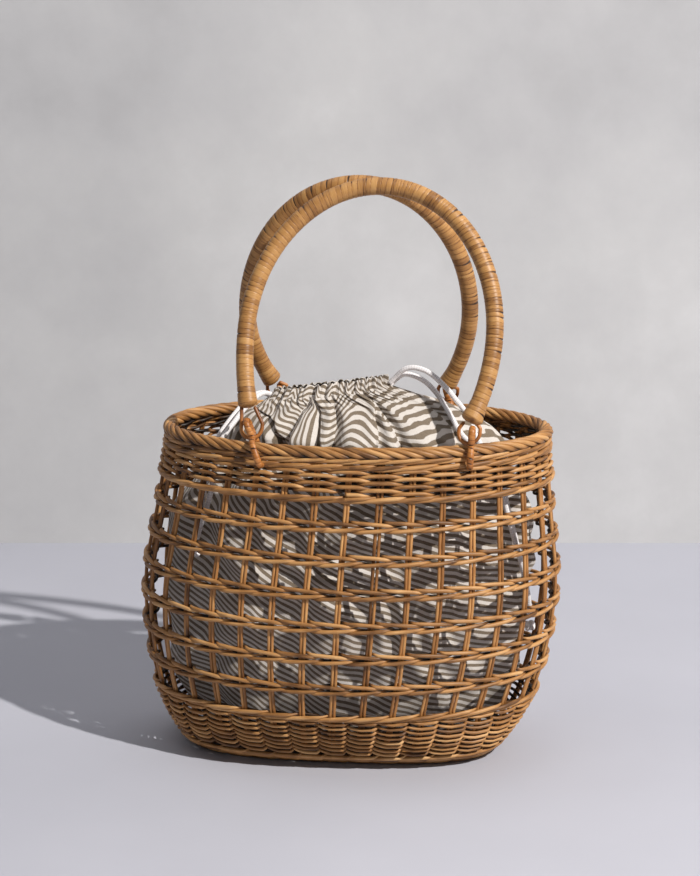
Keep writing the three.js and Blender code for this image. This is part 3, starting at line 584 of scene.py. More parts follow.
def lower_band():
    strands = Strands()
    low, high = climb_of(LOWER_FIRST_HEIGHT), climb_of(LOWER_LAST_HEIGHT)
    for row in range(LOWER_ROWS):
        base = low + (high - low) * row / (LOWER_ROWS - 1)
        weave(strands, base, 2, 2, SMILE, PAIRING_IN_AND_OUT, PAIRING_RADIUS, 3000 + 20 * row, PAIRING_TAPER,
              start=row % 2, blur=0.045, liveliness=0.4 * MM)
    for row in range(2):
        base = climb_of(HEEL_WALE_HEIGHT) + row * HEEL_ROUND_PITCH
        wale(strands, base, HEEL_WALE_RADIUS, 3500 + 10 * row)
    wale(strands, climb_of(TOP_WALE_HEIGHT), TOP_WALE_RADIUS, 3600, WALE_RISE)
    strands.build("lower_weave", willow, "basket", "lower_band")


RANDING_ROUNDS = 7
RANDING_PITCH = 2.5 * MM
RANDING_RADIUS = 1.42 * MM
RANDING_HEIGHT = 204.2 * MM
HUMP = in_mm((-0.6, -0.6), (-0.3, 0.2), (0.35, 0.1), (0.62, -1.3), (0.8, -0.4), (1.2, 0.0))
RANDING_IN_AND_OUT = in_mm(
    (-0.62, 1.0), (-0.25, 2.4), (0.45, 2.5), (0.72, -0.6), (1.0, -2.4), (1.25, -1.4),
)
RANDING_TAPER = [(-0.6, 0.85), (-0.2, 1.0), (0.35, 1.0), (0.65, 0.7), (1.2, 0.8)]


def upper_band():
    strands = Strands()
    wale(strands, climb_of(UPPER_WALE_HEIGHT), UPPER_WALE_RADIUS, 4000, LONG_WALE_RISE)
    weave(strands, climb_of(RANDING_HEIGHT), RANDING_ROUNDS, 2, HUMP, RANDING_IN_AND_OUT, RANDING_RADIUS,
          4100, RANDING_TAPER, climb_per_turn=RANDING_PITCH)
    for row, height in enumerate(RIM_WALE_HEIGHTS):
        wale(strands, climb_of(height), RIM_WALE_RADIUS, 4200 + 10 * row, LONG_WALE_RISE, 0.4 * row)
    strands.build("upper_weave", willow, "basket", "upper_band")


# Woven oval base: spokes from the middle sticks out to the wall, with rounds of weaving over and under them
MAT_Z = 2.85 * MM
MAT_SPOKES = 36
MAT_ROUND_PITCH = 2.5 * MM
MAT_ROD_RADIUS = 1.1 * MM
MAT_WAVE = 1.2 * MM
MAT_SAMPLES = 720
MAT_EDGE_GAP = 1.6 * MM
MIDDLE_STICKS = (-1.3 * MM, 1.3 * MM)


def base_mat():
    strands = Strands()
    outer = WALL_HALF_WIDTHS[0] - WALL_THICKNESS - MAT_EDGE_GAP
    reach = half_depth_for(outer, MAT_Z)
    inner = outer - reach + 2 * MM
    for spoke in range(MAT_SPOKES):
        angle = np.full(5, math.tau * spoke / MAT_SPOKES)
        path = oval(np.linspace(inner, outer, 5), angle, np.full(5, MAT_Z))
        strands.add(path, MAT_ROD_RADIUS, 0.5 + 0.15 * rng.uniform(-1, 1))
    for y in MIDDLE_STICKS:
        x = np.linspace(-inner, inner, 5)
        strands.add(np.stack([x, 0 * x + y, 0 * x + MAT_Z], axis=1), MAT_ROD_RADIUS, 0.45)
    angle = angles_round(MAT_SAMPLES)
    for row in range(int((reach - 2 * MM) / MAT_ROUND_PITCH)):
        path = oval(outer - row * MAT_ROUND_PITCH, angle, np.full(MAT_SAMPLES, MAT_Z))
        path[:, 2] += MAT_WAVE * np.cos(MAT_SPOKES / 2 * angle + math.pi * row)
        strands.add(path, MAT_ROD_RADIUS, 0.5 + 0.15 * rng.uniform(-1, 1), closed=True)
    strands.build("woven_base", willow, "basket", "base_mat")


# Rim border: strokes that each come over from the inside and run down to a point outside
BORDER_STROKES = 70
BORDER_HALF_WIDTH = wall_half_width(RIM_HEIGHT) - WALL_THICKNESS / 2
BORDER_HALF_DEPTH = BORDER_HALF_WIDTH - WIDTH_LESS_DEPTH
BORDER_GIRTH = 735 * MM
BORDER_LEAD = 66 * MM
BORDER_CENTRE_Z = 231.2 * MM
BORDER_STRAND_RADIUS = 1.7 * MM
BORDER_WIND_RADIUS = 3.35 * MM
# At 0 degrees a stroke lies inside, at 90 on top and at 180 outside
STROKE_FROM, STROKE_TO, STROKE_SAMPLES = -75, 250, 34


def rim_border():
    strands = Strands()
    sweep = np.linspace(STROKE_FROM, STROKE_TO, STROKE_SAMPLES)
    upward = np.array([0, 0, 1.0])
    for stroke in range(BORDER_STROKES):
        along = (sweep - 90) / 360 * BORDER_LEAD / BORDER_GIRTH
        angle = angle_at_share(stroke / BORDER_STROKES + along)
        height = np.full_like(angle, BORDER_CENTRE_Z)
        centre, before, after = (oval(BORDER_HALF_WIDTH, angle + step, height) for step in (0, -0.01, 0.01))
        outward = unit(np.cross(after - before, upward))
        turn = np.radians(sweep + rng.uniform(-5, 5))
        wind = BORDER_WIND_RADIUS * (1 + 0.05 * rng.uniform(-1, 1))
        direction = -outward * np.cos(turn)[:, None] + upward * np.sin(turn)[:, None]
        fade = np.clip((STROKE_TO - sweep) / 60, 0.0, 1) * np.clip((sweep - STROKE_FROM) / 40, 0.0, 1)
        radius = BORDER_STRAND_RADIUS * (0.35 + 0.65 * np.sqrt(fade))
        shade = 0.5 + 0.16 * rng.uniform(-1, 1) + 0.1 * smooth_noise(sweep, 80, 5000 + stroke)
        # Painted shade: each stroke darkens where it runs in under the others, at its inner start and its
        # outer end
        shade = shade - 0.5 * ease_between(sweep, 185, 240) - 0.4 * ease_between(-sweep, 0, 60)
        strands.add(centre + direction * wind, radius, shade, direction, flat=0.78)
    strands.build("rim_plait", willow, "basket", "rim_border")


for pair in range(STAKE_PAIRS):
    stake_pair(pair)
for row in range(len(ROW_HEIGHTS)):
    fitched_row(row)
foot_wale()
lower_band()
upper_band()
base_mat()
rim_border()


# Hoops wound with one long strip of cane each, and their rings
def resampled(path, step, closed=False):
    if closed:
        path = np.r_[path, path[:1]]
    along = lengths_along(path)
    count = round(along[-1] / step)
    places = np.linspace(0, along[-1], count + 1)[:count if closed else None]
    return np.stack([np.interp(places, along, path[:, axis]) for axis in range(3)], axis=1), places


def catmull(points, steps, closed=False):
    """A smooth curve through the points."""
    points = np.asarray(points, float)
    if closed:
        around = np.r_[points[-2:-1], points, points[1:2]]
    else:
        around = np.r_[2 * points[:1] - points[1:2], points, 2 * points[-1:] - points[-2:-1]]
    t = (np.arange(steps) / steps)[:, None]
    spans = []
    for a, b, c, d in zip(around, around[1:], around[2:], around[3:]):
        spans.append(0.5 * (2 * b + (c - a) * t + (2 * a - 5 * b + 4 * c - d) * t ** 2
                            + (3 * b - a - 3 * c + d) * t ** 3))
    curve = np.concatenate(spans)
    return curve if closed else np.r_[curve, points[-1:]]


HINGE_SPAN = HANDLES["rear"]["hinge_y"] - HANDLES["front"]["hinge_y"]
REST_LEAN = math.asin((HINGE_SPAN - 2 * GRIP_RADIUS - CLEARANCE) / (2 * CROWN_RISE))


def handle_plane(handle):
    up = np.array([0, -handle["side"] * math.sin(REST_LEAN), math.cos(REST_LEAN)])
    normal = np.cross((1.0, 0, 0), up)
    origin = np.array([0, handle["hinge_y"], HINGE_Z])
    return up, normal, origin


def on_plane(handle, x, rise):
    up, _, origin = handle_plane(handle)
    return origin + np.multiply.outer(x, (1.0, 0, 0)) + np.multiply.outer(rise, up)


def leg_x(handle, foot, rise):
    drop = (SHOULDER_RISE - rise) / (SHOULDER_RISE - foot["rise"])
    return handle["centre"] + foot["leg"] * (handle["half_width"] - foot["inset"] * drop * drop)


def hoop_path(handle):
    legs = []
    for foot in handle["feet"]:
        rise = np.linspace(foot["rise"], SHOULDER_RISE, 40)[:-1]
        legs.append(on_plane(handle, leg_x(handle, foot, rise), rise))
    angle = np.linspace(math.pi, 0, 160)
    x = handle["centre"] + handle["half_width"] * np.cos(angle)
    crown = on_plane(handle, x, SHOULDER_RISE + (CROWN_RISE - SHOULDER_RISE) * np.sin(angle))
    return np.r_[legs[0], crown, legs[1][::-1]]


# The side of a winding on which a few turns lie apart, and how wide round it
GAPE_ANGLE = 1.55 * math.pi
GAPE_WIDTH = 0.8


def wound(strands, path, along, radius, width, guide, sides, seed, gap, tone, gaping, vary=0.18, closed=False,
          shape=(1.0, 1.0)):
    """A tube wound with one strip, whose turns show as low bands with thin gaps, some of them gaping, and
    painted shade in the gaps.
    """
    local = np.random.default_rng(seed)
    count = int(along[-1] / width) + 3
    edges = np.r_[0, np.cumsum(width * local.uniform(1 - vary, 1 + vary, count))]
    if closed:
        place = along / along[-1] * round(along[-1] / width)
    else:
        place = np.interp(along, edges, np.arange(count + 1))
    angle = angles_round(sides)
    wobble = 0.07 * np.sin(angle + 1.3)[None, :] * smooth_noise(place, 1.5, seed + 1)[:, None]
    strip = place[:, None] + wobble + angle / (math.tau)
    turn = np.floor(strip)
    share = strip - turn
    run = turn - angle / (math.tau)
    loose, colour = (smooth_noise(run.ravel(), 1.0, seed + i).reshape(run.shape) for i in (2, 3))
    gapes = local.uniform(0, 1, count + 8) < gaping
    nearest = np.clip((turn + (share > 0.5)).astype(int) + 2, 0, count + 7)
    wide = np.where(gapes[nearest], bell(angle, GAPE_ANGLE, GAPE_WIDTH), 0)
    crown = 0.01 * width * np.sin(math.pi * share) + 0.025 * width * (share - 0.5)
    edge = np.minimum(share, 1 - share) * width
    dip = bell(edge, 0, 0.5 * gap * (1 + 0.5 * loose + wide))
    size = radius[:, None] + crown - gap * dip * (0.35 + 1.3 * wide)
    # Painted shade in the gaps between turns, darker still where they gape
    shade = tone + 0.13 * colour - dip * (0.28 + 0.65 * wide)
    around = run * math.tau * radius[:, None]
    grain = np.stack([around, along[:, None] + 0 * run, 0 * run], axis=-1)
    strands.add_rings(tube_rings(path, guide, size, closed, shape), shade, closed, grain)


RING_STEP = 0.6 * MM
FOOT_FLARE_LENGTH = 15 * MM
FOOT_DOME = 3.5 * MM
HOOP_SIDES = 40
CANE_WIDTH = 3.3 * MM
HOOP_STEP = 0.35 * MM


def hoop(name, handle):
    strands = Strands()
    path, along = resampled(hoop_path(handle), HOOP_STEP)
    reach = np.minimum(along, along[-1] - along)
    flare = np.where(along < along[-1] / 2, handle["feet"][0]["flare"], handle["feet"][1]["flare"])
    radius = GRIP_RADIUS + flare * np.maximum(1 - reach / FOOT_FLARE_LENGTH, 0)
    radius = radius * (1 + 0.02 * smooth_noise(along, 35 * MM, 61))
    # The ends close over in a low dome
    radius = radius * np.sqrt(np.clip(1 - np.maximum(1 - reach / FOOT_DOME, 0) ** 2 * 0.85, 0.1, 1))
    wound(strands, path, along, radius, CANE_WIDTH, handle_plane(handle)[1], HOOP_SIDES, handle["seed"],
          gap=0.42 * MM, tone=0.47, gaping=0.26, vary=0.5)
    strands.build(f"{name}_hoop", wound_cane, f"{name}_handle_set", f"{name}_handle")


def ring(name, handle, foot):
    """A bent cane in a U, hung from the end of the hoop."""
    foot_x = leg_x(handle, foot, foot["rise"])
    ring_x = foot["strap_x"] - RING_SHIFT
    end_half = GRIP_RADIUS - RING_WIRE_RADIUS
    limb = RING_HALF_WIDTH + RING_STRAIGHT
    end_rise = foot["rise"] - CLEARANCE
    angle = np.linspace(math.pi, math.tau, 15)
    x = np.r_[foot_x - end_half, ring_x - RING_HALF_WIDTH, ring_x + RING_HALF_WIDTH * np.cos(angle),
              ring_x + RING_HALF_WIDTH, foot_x + end_half]
    rise = np.r_[end_rise, limb, RING_HALF_WIDTH * (1 + np.sin(angle)), limb, end_rise]
    path, along = resampled(on_plane(handle, x, rise), RING_STEP)
    strands = Strands()
    seed = 300 if foot["leg"] < 0 else 310
    radius = RING_WIRE_RADIUS * (0.98 + 0.04 * smooth_noise(along, 7 * MM, seed))
    shade = 0.42 + 0.2 * smooth_noise(along, 8 * MM, seed + 1)
    strands.add(path, radius, shade, handle_plane(handle)[1], sides=14)
    node = f"{name}_{foot['hand']}_ring"
    strands.build(f"{name}_{foot['hand']}_cane_ring", binding_cane, f"{name}_handle_set", node)


# Straps: closed loops of wound cane through the rings and round the border
STRAP_RISE = 12.2 * MM
STRAP_FOOT_GAP = 1.2 * MM
STRAP_RING_EASE = 0.7 * MM
STRAP_BORDER_EASE = 1.2 * MM
STRAP_HOLE_Z = 221.2 * MM
STRAP_TURN = 3.3 * MM
STRAP_STEP = 0.25 * MM
STRAP_SIDES = 18
# Slightly more aslant, flatter and thinner than the plain solid, as in the photograph
STRAP_SLANT_SHARE = 1.35
STRAP_SHAPE = (1.15, 0.95)
STRAP_THINNER = 0.25 * MM


def border_y(x):
    return BORDER_HALF_DEPTH * math.sqrt(1 - (x / BORDER_HALF_WIDTH) ** 2)


def border_facing(x):
    return math.cos(math.atan2(x / BORDER_HALF_WIDTH ** 2, border_y(x) / BORDER_HALF_DEPTH ** 2))


def strap(name, handle, foot):
    strap_x, slant = foot["strap_x"], STRAP_SLANT_SHARE * foot["slant"]
    near_ring = RING_WIRE_RADIUS + STRAP_RING_EASE + STRAP_RADIUS
    near_border = BORDER_RADIUS + STRAP_BORDER_EASE + STRAP_RADIUS
    top = min(STRAP_RISE, foot["rise"] - STRAP_FOOT_GAP - STRAP_RADIUS)
    drop = RIM_HEIGHT - HINGE_Z
    hole = STRAP_HOLE_Z - HINGE_Z
    corner = math.sqrt(0.5)
    over_ring = [(0, top), (near_ring * corner, top - near_ring * (1 - corner)), (near_ring, top - near_ring),
                 (near_ring, RING_WIRE_RADIUS)]
    round_border = [(near_border * corner, drop + near_border * corner), (near_border, drop),
                    (near_border, (drop + hole) / 2),
                    (near_border - STRAP_RADIUS / 2, hole + STRAP_RADIUS / 2),
                    (near_border / 2, hole), (0, hole)]
    half = [(y, rise, False) for y, rise in over_ring] + [(y, rise, True) for y, rise in round_border]
    points = []
    for y, rise, low in half + [(-y, rise, low) for y, rise, low in half[1:-1][::-1]]:
        x = strap_x - math.tan(slant) * rise
        centre_y = handle["side"] * border_y(x) + y / border_facing(x) if low else handle["hinge_y"] + y
        points.append((x, centre_y, HINGE_Z + rise))
    path, along = resampled(catmull(points + points[:1], 10, closed=True), STRAP_STEP, closed=True)
    sideways = np.array([math.cos(slant), 0, math.sin(slant)])
    strands = Strands()
    seed = (400 if foot["leg"] < 0 else 410) + (1 if name == "front" else 2)
    radius = STRAP_RADIUS - STRAP_THINNER + 0.12 * MM * np.cos(math.tau * along / along[-1] * 5 + seed)
    wound(strands, path, along, radius, STRAP_TURN, sideways, STRAP_SIDES, seed,
          gap=0.36 * MM, tone=0.55, gaping=0.45, closed=True, shape=STRAP_SHAPE)
    node = f"{name}_{foot['hand']}_strap"
    strands.build(f"{name}_{foot['hand']}_binding", binding_cane, "basket", node)


for name, handle in HANDLES.items():
    hoop(name, handle)
    for foot in handle["feet"]:
        ring(name, handle, foot)
        strap(name, handle, foot)


# Liner: a striped cotton bag, gathered at its neck
BASE_TOP = 5.3 * MM
CLOTH_THICKNESS = 0.6 * MM
STRIPE_PERIOD = 4.55 * MM
LINER_COLUMNS = 864
# How far up the wall, how much smaller than it across and in depth, the centre and the tilt to the right
LINER_IN_WALL = [
    (0.023, 22, 20, 0, 0), (0.105, 17.5, 16.5, 0, 0), (0.305, 23.5, 18.5, 0, 0),
    (0.566, 24, 16, 0, 0), (0.827, 21.5, 13.5, 2, 0), (0.984, 33.5, 19.5, 7, 0),
]
# How far above the rim, the half width and half depth, the centre and the tilt
LINER_ABOVE_RIM = [
    (13.8, 76, 38, -4, 2), (22.5, 54, 23, -14, 4), (26.6, 43, 17, -20.4, 4.8), (34.6, 38.6, 9.5, -20.4, 5.6),
]
BODY_GIRTH = 617 * MM
# Rows of the mesh from the base to behind the upper band, on to the neck, up the ruffle and over the base
BODY_ROWS = 130
MOUND_ROWS = 110
RUFFLE_ROWS = 26
BOTTOM_ROWS = 12
NOISE_ROWS = 64


def liner_stations():
    """Height, half width, half depth, centre and tilt of the bag at a few levels."""
    rows = [(RIM_HEIGHT / MM + rise, *others) for rise, *others in LINER_ABOVE_RIM]
    for share, ease_x, ease_y, centre, tilt in LINER_IN_WALL[::-1]:
        z = share * RIM_HEIGHT
        outer = wall_half_width(z) - WALL_THICKNESS
        depth = half_depth_for(outer, z)
        rows.insert(0, (z / MM, outer / MM - ease_x, depth / MM - ease_y, centre, tilt))
    return np.array(rows) * MM


def cell_noise(across, up, columns, seed):
    """Soft random values from -1 to 1 over the cloth, round which they join up; across runs from 0 to 1."""
    values = scattered((NOISE_ROWS, columns), seed)
    x = across % 1 * columns
    y = np.clip(up, 0, NOISE_ROWS - 1.001)
    i, j = np.floor(x).astype(int), np.floor(y).astype(int)
    s, t = smooth(x - i), smooth(y - j)
    i, k = i % columns, (i + 1) % columns
    low, high = (values[row, i] * (1 - s) + values[row, k] * s for row in (j, j + 1))
    return low * (1 - t) + high * t


def pleat(turns):
    """Round ridges with sharp valleys between them, one ridge a turn, from -1 to 1."""
    return 2 * np.abs(np.cos(math.pi * turns)) ** 0.8 - 1


# Folds of the gathered top: places in degrees from the front and mm up, then the depth in mm, the width in
# degrees and the sharper side
FOLDS = [
    ([(-37, 231), (-43, 243), (-87, 253)], 6.0, 4.0, 1),
    ([(-33, 227), (-31, 238), (-28, 248), (-14, 258)], 13.0, 7.0, 1),
    ([(-16, 229), (-15, 245), (-12, 258)], 6.0, 2.4, 1),
    ([(-11, 229), (-8, 239), (-3, 250), (7, 259)], 11.0, 3.4, -1),
    ([(9, 230), (15, 244), (34, 255)], 7.0, 2.8, -1),
    ([(19, 233), (23, 246), (39, 259)], 8.0, 3.2, -1),
    ([(44, 228), (60, 244), (75, 256)], 4.0, 3.5, -1),
    ([(78, 228), (95, 256)], 4.0, 4.0, -1),
    ([(120, 229), (130, 258)], 4.5, 4.0, 1),
    ([(160, 229), (165, 258)], 4.0, 4.0, 1),
    ([(205, 229), (212, 258)], 6.0, 3.5, 1),
    ([(235, 229), (228, 258)], 4.0, 4.0, 1),
    ([(262, 229), (255, 258)], 4.5, 4.0, -1),
    ([(298, 227), (285, 245), (275, 256)], 4.5, 3.0, 1),
]


def fold_degrees(line, z):
    places, heights = zip(*line)
    return np.interp(z / MM, heights, places)


def folded(degrees, z):
    """How far the cloth stands out beside its folds: a hollow at each, and a roll on the sharper side."""
    move = 0
    for line, depth, width, side in FOLDS:
        away = np.mod(degrees - fold_degrees(line, z) + 180, 360) - 180
        away = side * away / width
        hollow = bell(np.where(away > 0, away / 0.4, away), 0, 1, 2.5)
        roll = bell(away, 1.1, 0.8) * (away > 0) * np.clip(away / 0.4, 0, 1)
        move = move + depth * MM * (0.3 * roll - hollow)
    return move


def cloth_relief(share, up, neck, top, z, degrees):
    """How far the cloth stands out from its plain form, and how far it rises."""
    def noise(size, columns, seed, place=share):
        return cell_noise(place, up / size, columns, seed)

    frill = ease_between(up, neck - 0.002, neck + 0.003)
    gathered = ease_between(up, neck - 0.016, neck - 0.002)
    neckward = ease_between(up, neck - 0.03, neck - 0.003)
    above = ease_between(up, neck - 0.075, neck - 0.02)
    mound = ease_between(z, 0.205, 0.23)
    # Gathers at the neck run out into fewer, deeper pleats below, and those into the body's soft folds
    drift = 0.012 * noise(0.05, 9, 14)
    lively = 0.6 + 0.5 * noise(0.02, 30, 13)
    move = 1.2 * pleat(58 * (share + 0.5 * drift)) * gathered * (1 - 0.6 * frill)
    move = move + 1.2 * pleat(29 * (share + drift)) * above * (1 - 0.6 * neckward) * lively
    soft = 3.0 * np.cos(math.tau * (9 * share + 8.1 * drift))
    crumple = 1.6 * noise(0.03, 22, 16) + 0.6 * noise(0.012, 60, 17, share + up / 0.9)
    move = move + (soft + crumple) * (1 - gathered)
    drag = np.cos(math.tau * (13 * share + up / 0.11 + 1.4 * noise(0.06, 7, 15)))
    move = move + 2.4 * drag * (1 - mound) * ease_between(up, 0.01, 0.05)
    move = move + 1.2 * noise(0.0035, 120, 19) * gathered
    puffs = pleat(46 * (share + drift))
    move = move + (1.5 * noise(0.0042, 54, 23, share + drift) + 0.5 * puffs) * frill
    move = move * MM + folded(degrees, z) * mound * (1 - 0.75 * neckward)
    # It fills the wall's ends, tucks in behind the upper band and swells out at the rim
    turned = np.mod(degrees + 180, 360) - 180
    ends = 10 * bell(turned, -97, 36) + 7 * bell(turned, 95, 32) + 4.5 * bell(turned, -62, 20)
    ends = ends * ease_between(z, 0.03, 0.06) * (1 - ease_between(z, 0.17, 0.2))
    swell = bell(z, 0.234, 0.007) * (2 + 6 * bell(turned, 0, 50, 4))
    move = move + (ends + swell - 6 * bell(z, 0.211, 0.009)) * MM
    puffed = 0.5 * noise(0.004, 58, 18) + 0.7 * puffs
    lower_behind = 2.2 * np.clip(-np.cos(np.radians(degrees)), 0, 1)
    return move, (0.9 * (puffed - 0.4) - lower_behind) * MM * ease_between(up, neck, top)


def liner_surface():
    """Rows of points from the base up to the ruffle, their distance up the cloth, and its plain form."""
    stations = liner_stations()
    levels = lengths_along(stations[:, [0, 2]])
    neck, top = levels[-2], levels[-1]
    covered = levels[len(LINER_IN_WALL) - 1]
    spans = [(0, covered, BODY_ROWS), (covered, neck, MOUND_ROWS), (neck, top, RUFFLE_ROWS)]
    up = np.concatenate([np.linspace(*span)[:-1] for span in spans] + [[top]])
    stations = hermite(levels, stations, np.gradient(stations, levels, axis=0), up)
    z, half_width, half_depth, centre, tilt = stations.T[:, :, None]
    up = up[:, None]
    share = np.arange(LINER_COLUMNS) / LINER_COLUMNS
    uneven = 0.003 * cell_noise(share, 0 * share, 40, 11) + 0.002 * cell_noise(share, 0 * share, 90, 12)
    angle = angle_at_share(share + uneven)
    share = np.broadcast_to(share, (len(up), LINER_COLUMNS))
    move, lift = cloth_relief(share, up, neck, top, z, np.degrees(angle))
    across, along = np.sin(angle), -np.cos(angle)
    plain = np.stack([centre + half_width * across, half_depth * along, z + 0 * across], axis=-1)
    points = plain.copy()
    points[..., :2] += unit(np.stack([across / half_width, along / half_depth], axis=-1)) * move[..., None]
    points[..., 2] += tilt * across + lift
    floor_share = np.arange(BOTTOM_ROWS) / BOTTOM_ROWS
    floor = points[0] * (1 - (1 - floor_share[:, None, None]) ** 1.5)
    floor[..., 2] = BASE_TOP + 0.2 * MM
    below = -np.linalg.norm(points[0][:, :2], axis=1).mean() * (1 - floor_share)
    plain = np.r_[np.repeat(plain[:1], BOTTOM_ROWS, axis=0), plain]
    return np.r_[floor, points], np.r_[below, up[:, 0]], plain


def stripe_slope(angle):
    """How steeply the stripes run down to the right, round the bag."""
    turned = np.degrees(np.mod(angle + math.pi, math.tau) - math.pi)
    places = [-180, -120, -70, -45, -20, -8, 7, 40, 90, 130, 180]
    slopes = [20, 25, 26, 33, 37, 28, 22, 16, 12, 14, 20]
    return np.radians(np.interp(turned, places, slopes))


MOUND_FROM = 213 * MM
RUFFLE_FROM = 256.5 * MM
# A mesh face's corners, in rows and columns
CORNERS = ((0, 0), (0, 1), (1, 1), (1, 0))


def stripe_phases(heights, plain):
    """Where each face's corners lie across the stripes, in stripes. The phase breaks at the deep folds."""
    share = np.arange(LINER_COLUMNS + 1)[None, :] / LINER_COLUMNS
    angle = angle_at_share(share[0])
    slid = np.r_[0, np.cumsum(np.tan(stripe_slope((angle[1:] + angle[:-1]) / 2)))]
    slid = slid * BODY_GIRTH / LINER_COLUMNS / STRIPE_PERIOD
    slid = slid * round(slid[-1]) / slid[-1]
    height = heights[:, None]
    body = height / STRIPE_PERIOD + slid + 0.32 * cell_noise(share, height / 0.02 + 20, 24, 21)
    degrees = np.degrees(angle)[None, :]
    degrees = np.where(degrees > 180, degrees - 360, degrees)
    degrees[:, -1] = 0
    x, y, z = (np.c_[axis, axis[:, :1]] / MM for axis in np.moveaxis(plain, 2, 0))
    wave = 0.12 * cell_noise(share, height / 0.008 + 20, 60, 22)
    # How high a point looks from in front, so that the stripes stay even over the mound
    level = z - 0.24 * np.abs(y)
    flank = degrees / 5.8 + wave
    tucked = (degrees + 1.2 * (z - 240)) / 4.2 + wave
    left, right = fold_degrees(FOLDS[1][0], z * MM), fold_degrees(FOLDS[2][0], z * MM)
    fan = 6.3 * (degrees - right) / (right - left) + wave
    narrow = level / 4.75 + 0.02 * degrees
    off = x - 1
    arch = 9.5 * np.where(off < 0, np.minimum(-off / 10, 1.5), np.minimum(off / 15.5, 1.5)) ** 1.7
    arched = (level + arch) / 5.3 + wave
    leaning = (level + 0.25 * x) / 5.2 + wave
    rising = (level - (0.12 + 0.011 * (z - 230)) * (x - 30)) / 5.3 + 2 * wave
    ruffle = level / 4.4 + degrees / 15 + 0.95 * cell_noise(share, height / 0.0048 + 20, 52, 24)
    # Which of them holds, by each face's middle
    face_z = (z[:-1, :-1] + z[1:, 1:]) / 2 * MM
    face = (degrees[:, 1:] + degrees[:, :-1]) / 2
    face = np.where(np.abs(degrees[:, 1:] - degrees[:, :-1]) > 90, -0.2, face)
    regions = [
        (heights[:-1, None] < 0, body), (face_z < MOUND_FROM, body), (face_z > RUFFLE_FROM, ruffle),
        (face < -148, rising),
    ]
    for (line, *_), phase in zip(FOLDS, (flank, tucked, fan, narrow, arched, leaning)):
        regions.append((face < fold_degrees(line, face_z), phase))
    conditions = [np.broadcast_to(condition, face_z.shape) for condition, _ in regions]
    rows, columns = face_z.shape
    corners = []
    for di, dj in CORNERS:
        values = [value[di:di + rows, dj:dj + columns] for _, value in regions]
        corners.append(np.select(conditions, values, rising[di:di + rows, dj:dj + columns]))
    return np.stack(corners, axis=-1)


def liner():
    points, heights, plain = liner_surface()
    rows, columns = points.shape[:2]
    i = np.arange(rows - 1)[:, None]
    j = np.arange(columns)[None, :]
    faces = np.stack([(i + di) * columns + (j + dj) % columns for di, dj in CORNERS], axis=-1)
    phases = stripe_phases(heights, plain)
    corners = []
    for corner, (di, dj) in enumerate(CORNERS):
        around = (j + dj) / columns * BODY_GIRTH + 0 * i
        corners.append(np.stack([phases[..., corner], heights[i + di] + 0 * j, around], axis=-1))
    values = np.stack(corners, axis=2).reshape(-1, 3)
    place = leaned(points.reshape(-1, 3))
    piece = mesh_object("cotton_liner", place, faces.reshape(-1, 4), cotton, at_corners={"cloth": values})
    thick = piece.modifiers.new("thickness", "SOLIDIFY")
    thick.thickness = CLOTH_THICKNESS
    thick.offset = -1
    dress(piece, "basket", "liner")


def cotton_material():
    """Cream cotton with woven taupe stripes, its threads and a soft irregular weave."""
    nodes = Nodes(bpy.data.materials.new("striped_cotton"))
    cloth = nodes.attribute("cloth", "Vector")
    phase = nodes.add("SeparateXYZ", "X", {0: cloth})
    threads = nodes.noise(cloth, (0, 3200, 500), 2.0)
    cross_threads = nodes.noise(cloth, (0, 500, 3200), 2.0)
    slub = nodes.math("MULTIPLY_ADD", nodes.math("SUBTRACT", threads, 0.5), 0.12, phase)
    away = nodes.math("ABSOLUTE", nodes.math("SUBTRACT", nodes.math("FRACT", slub), 0.5))
    stripe = nodes.ramp(away, [(0.0, "000000"), (0.225, "000000"), (0.265, "ffffff"), (1.0, "ffffff")])
    weave = nodes.math("ADD", threads, cross_threads)
    cream = nodes.ramp(weave, [(0.6, "beb7af"), (1.4, "d1cac3")])
    taupe = nodes.ramp(weave, [(0.6, "54483d"), (1.4, "7a6c5b")])
    colour = nodes.add("Mix", 2, {"Factor": stripe, 6: taupe, 7: cream}, data_type="RGBA")
    nodes.surface(colour, 0.95, 0.15, weave, 0.4, 0.2 * MM)
    return nodes.owner


cotton = cotton_material()
liner()


# Drawstrings: the routes that the frame's solids follow
CORD_RADIUS = 1.75 * MM
CORD_STEP = 0.6 * MM
CORD_SIDES = 16
BRAID_LENGTH = 7 * MM
KNOT_SIZE, KNOT_CORD_RADIUS = 0.95 * MM, 1.6 * MM
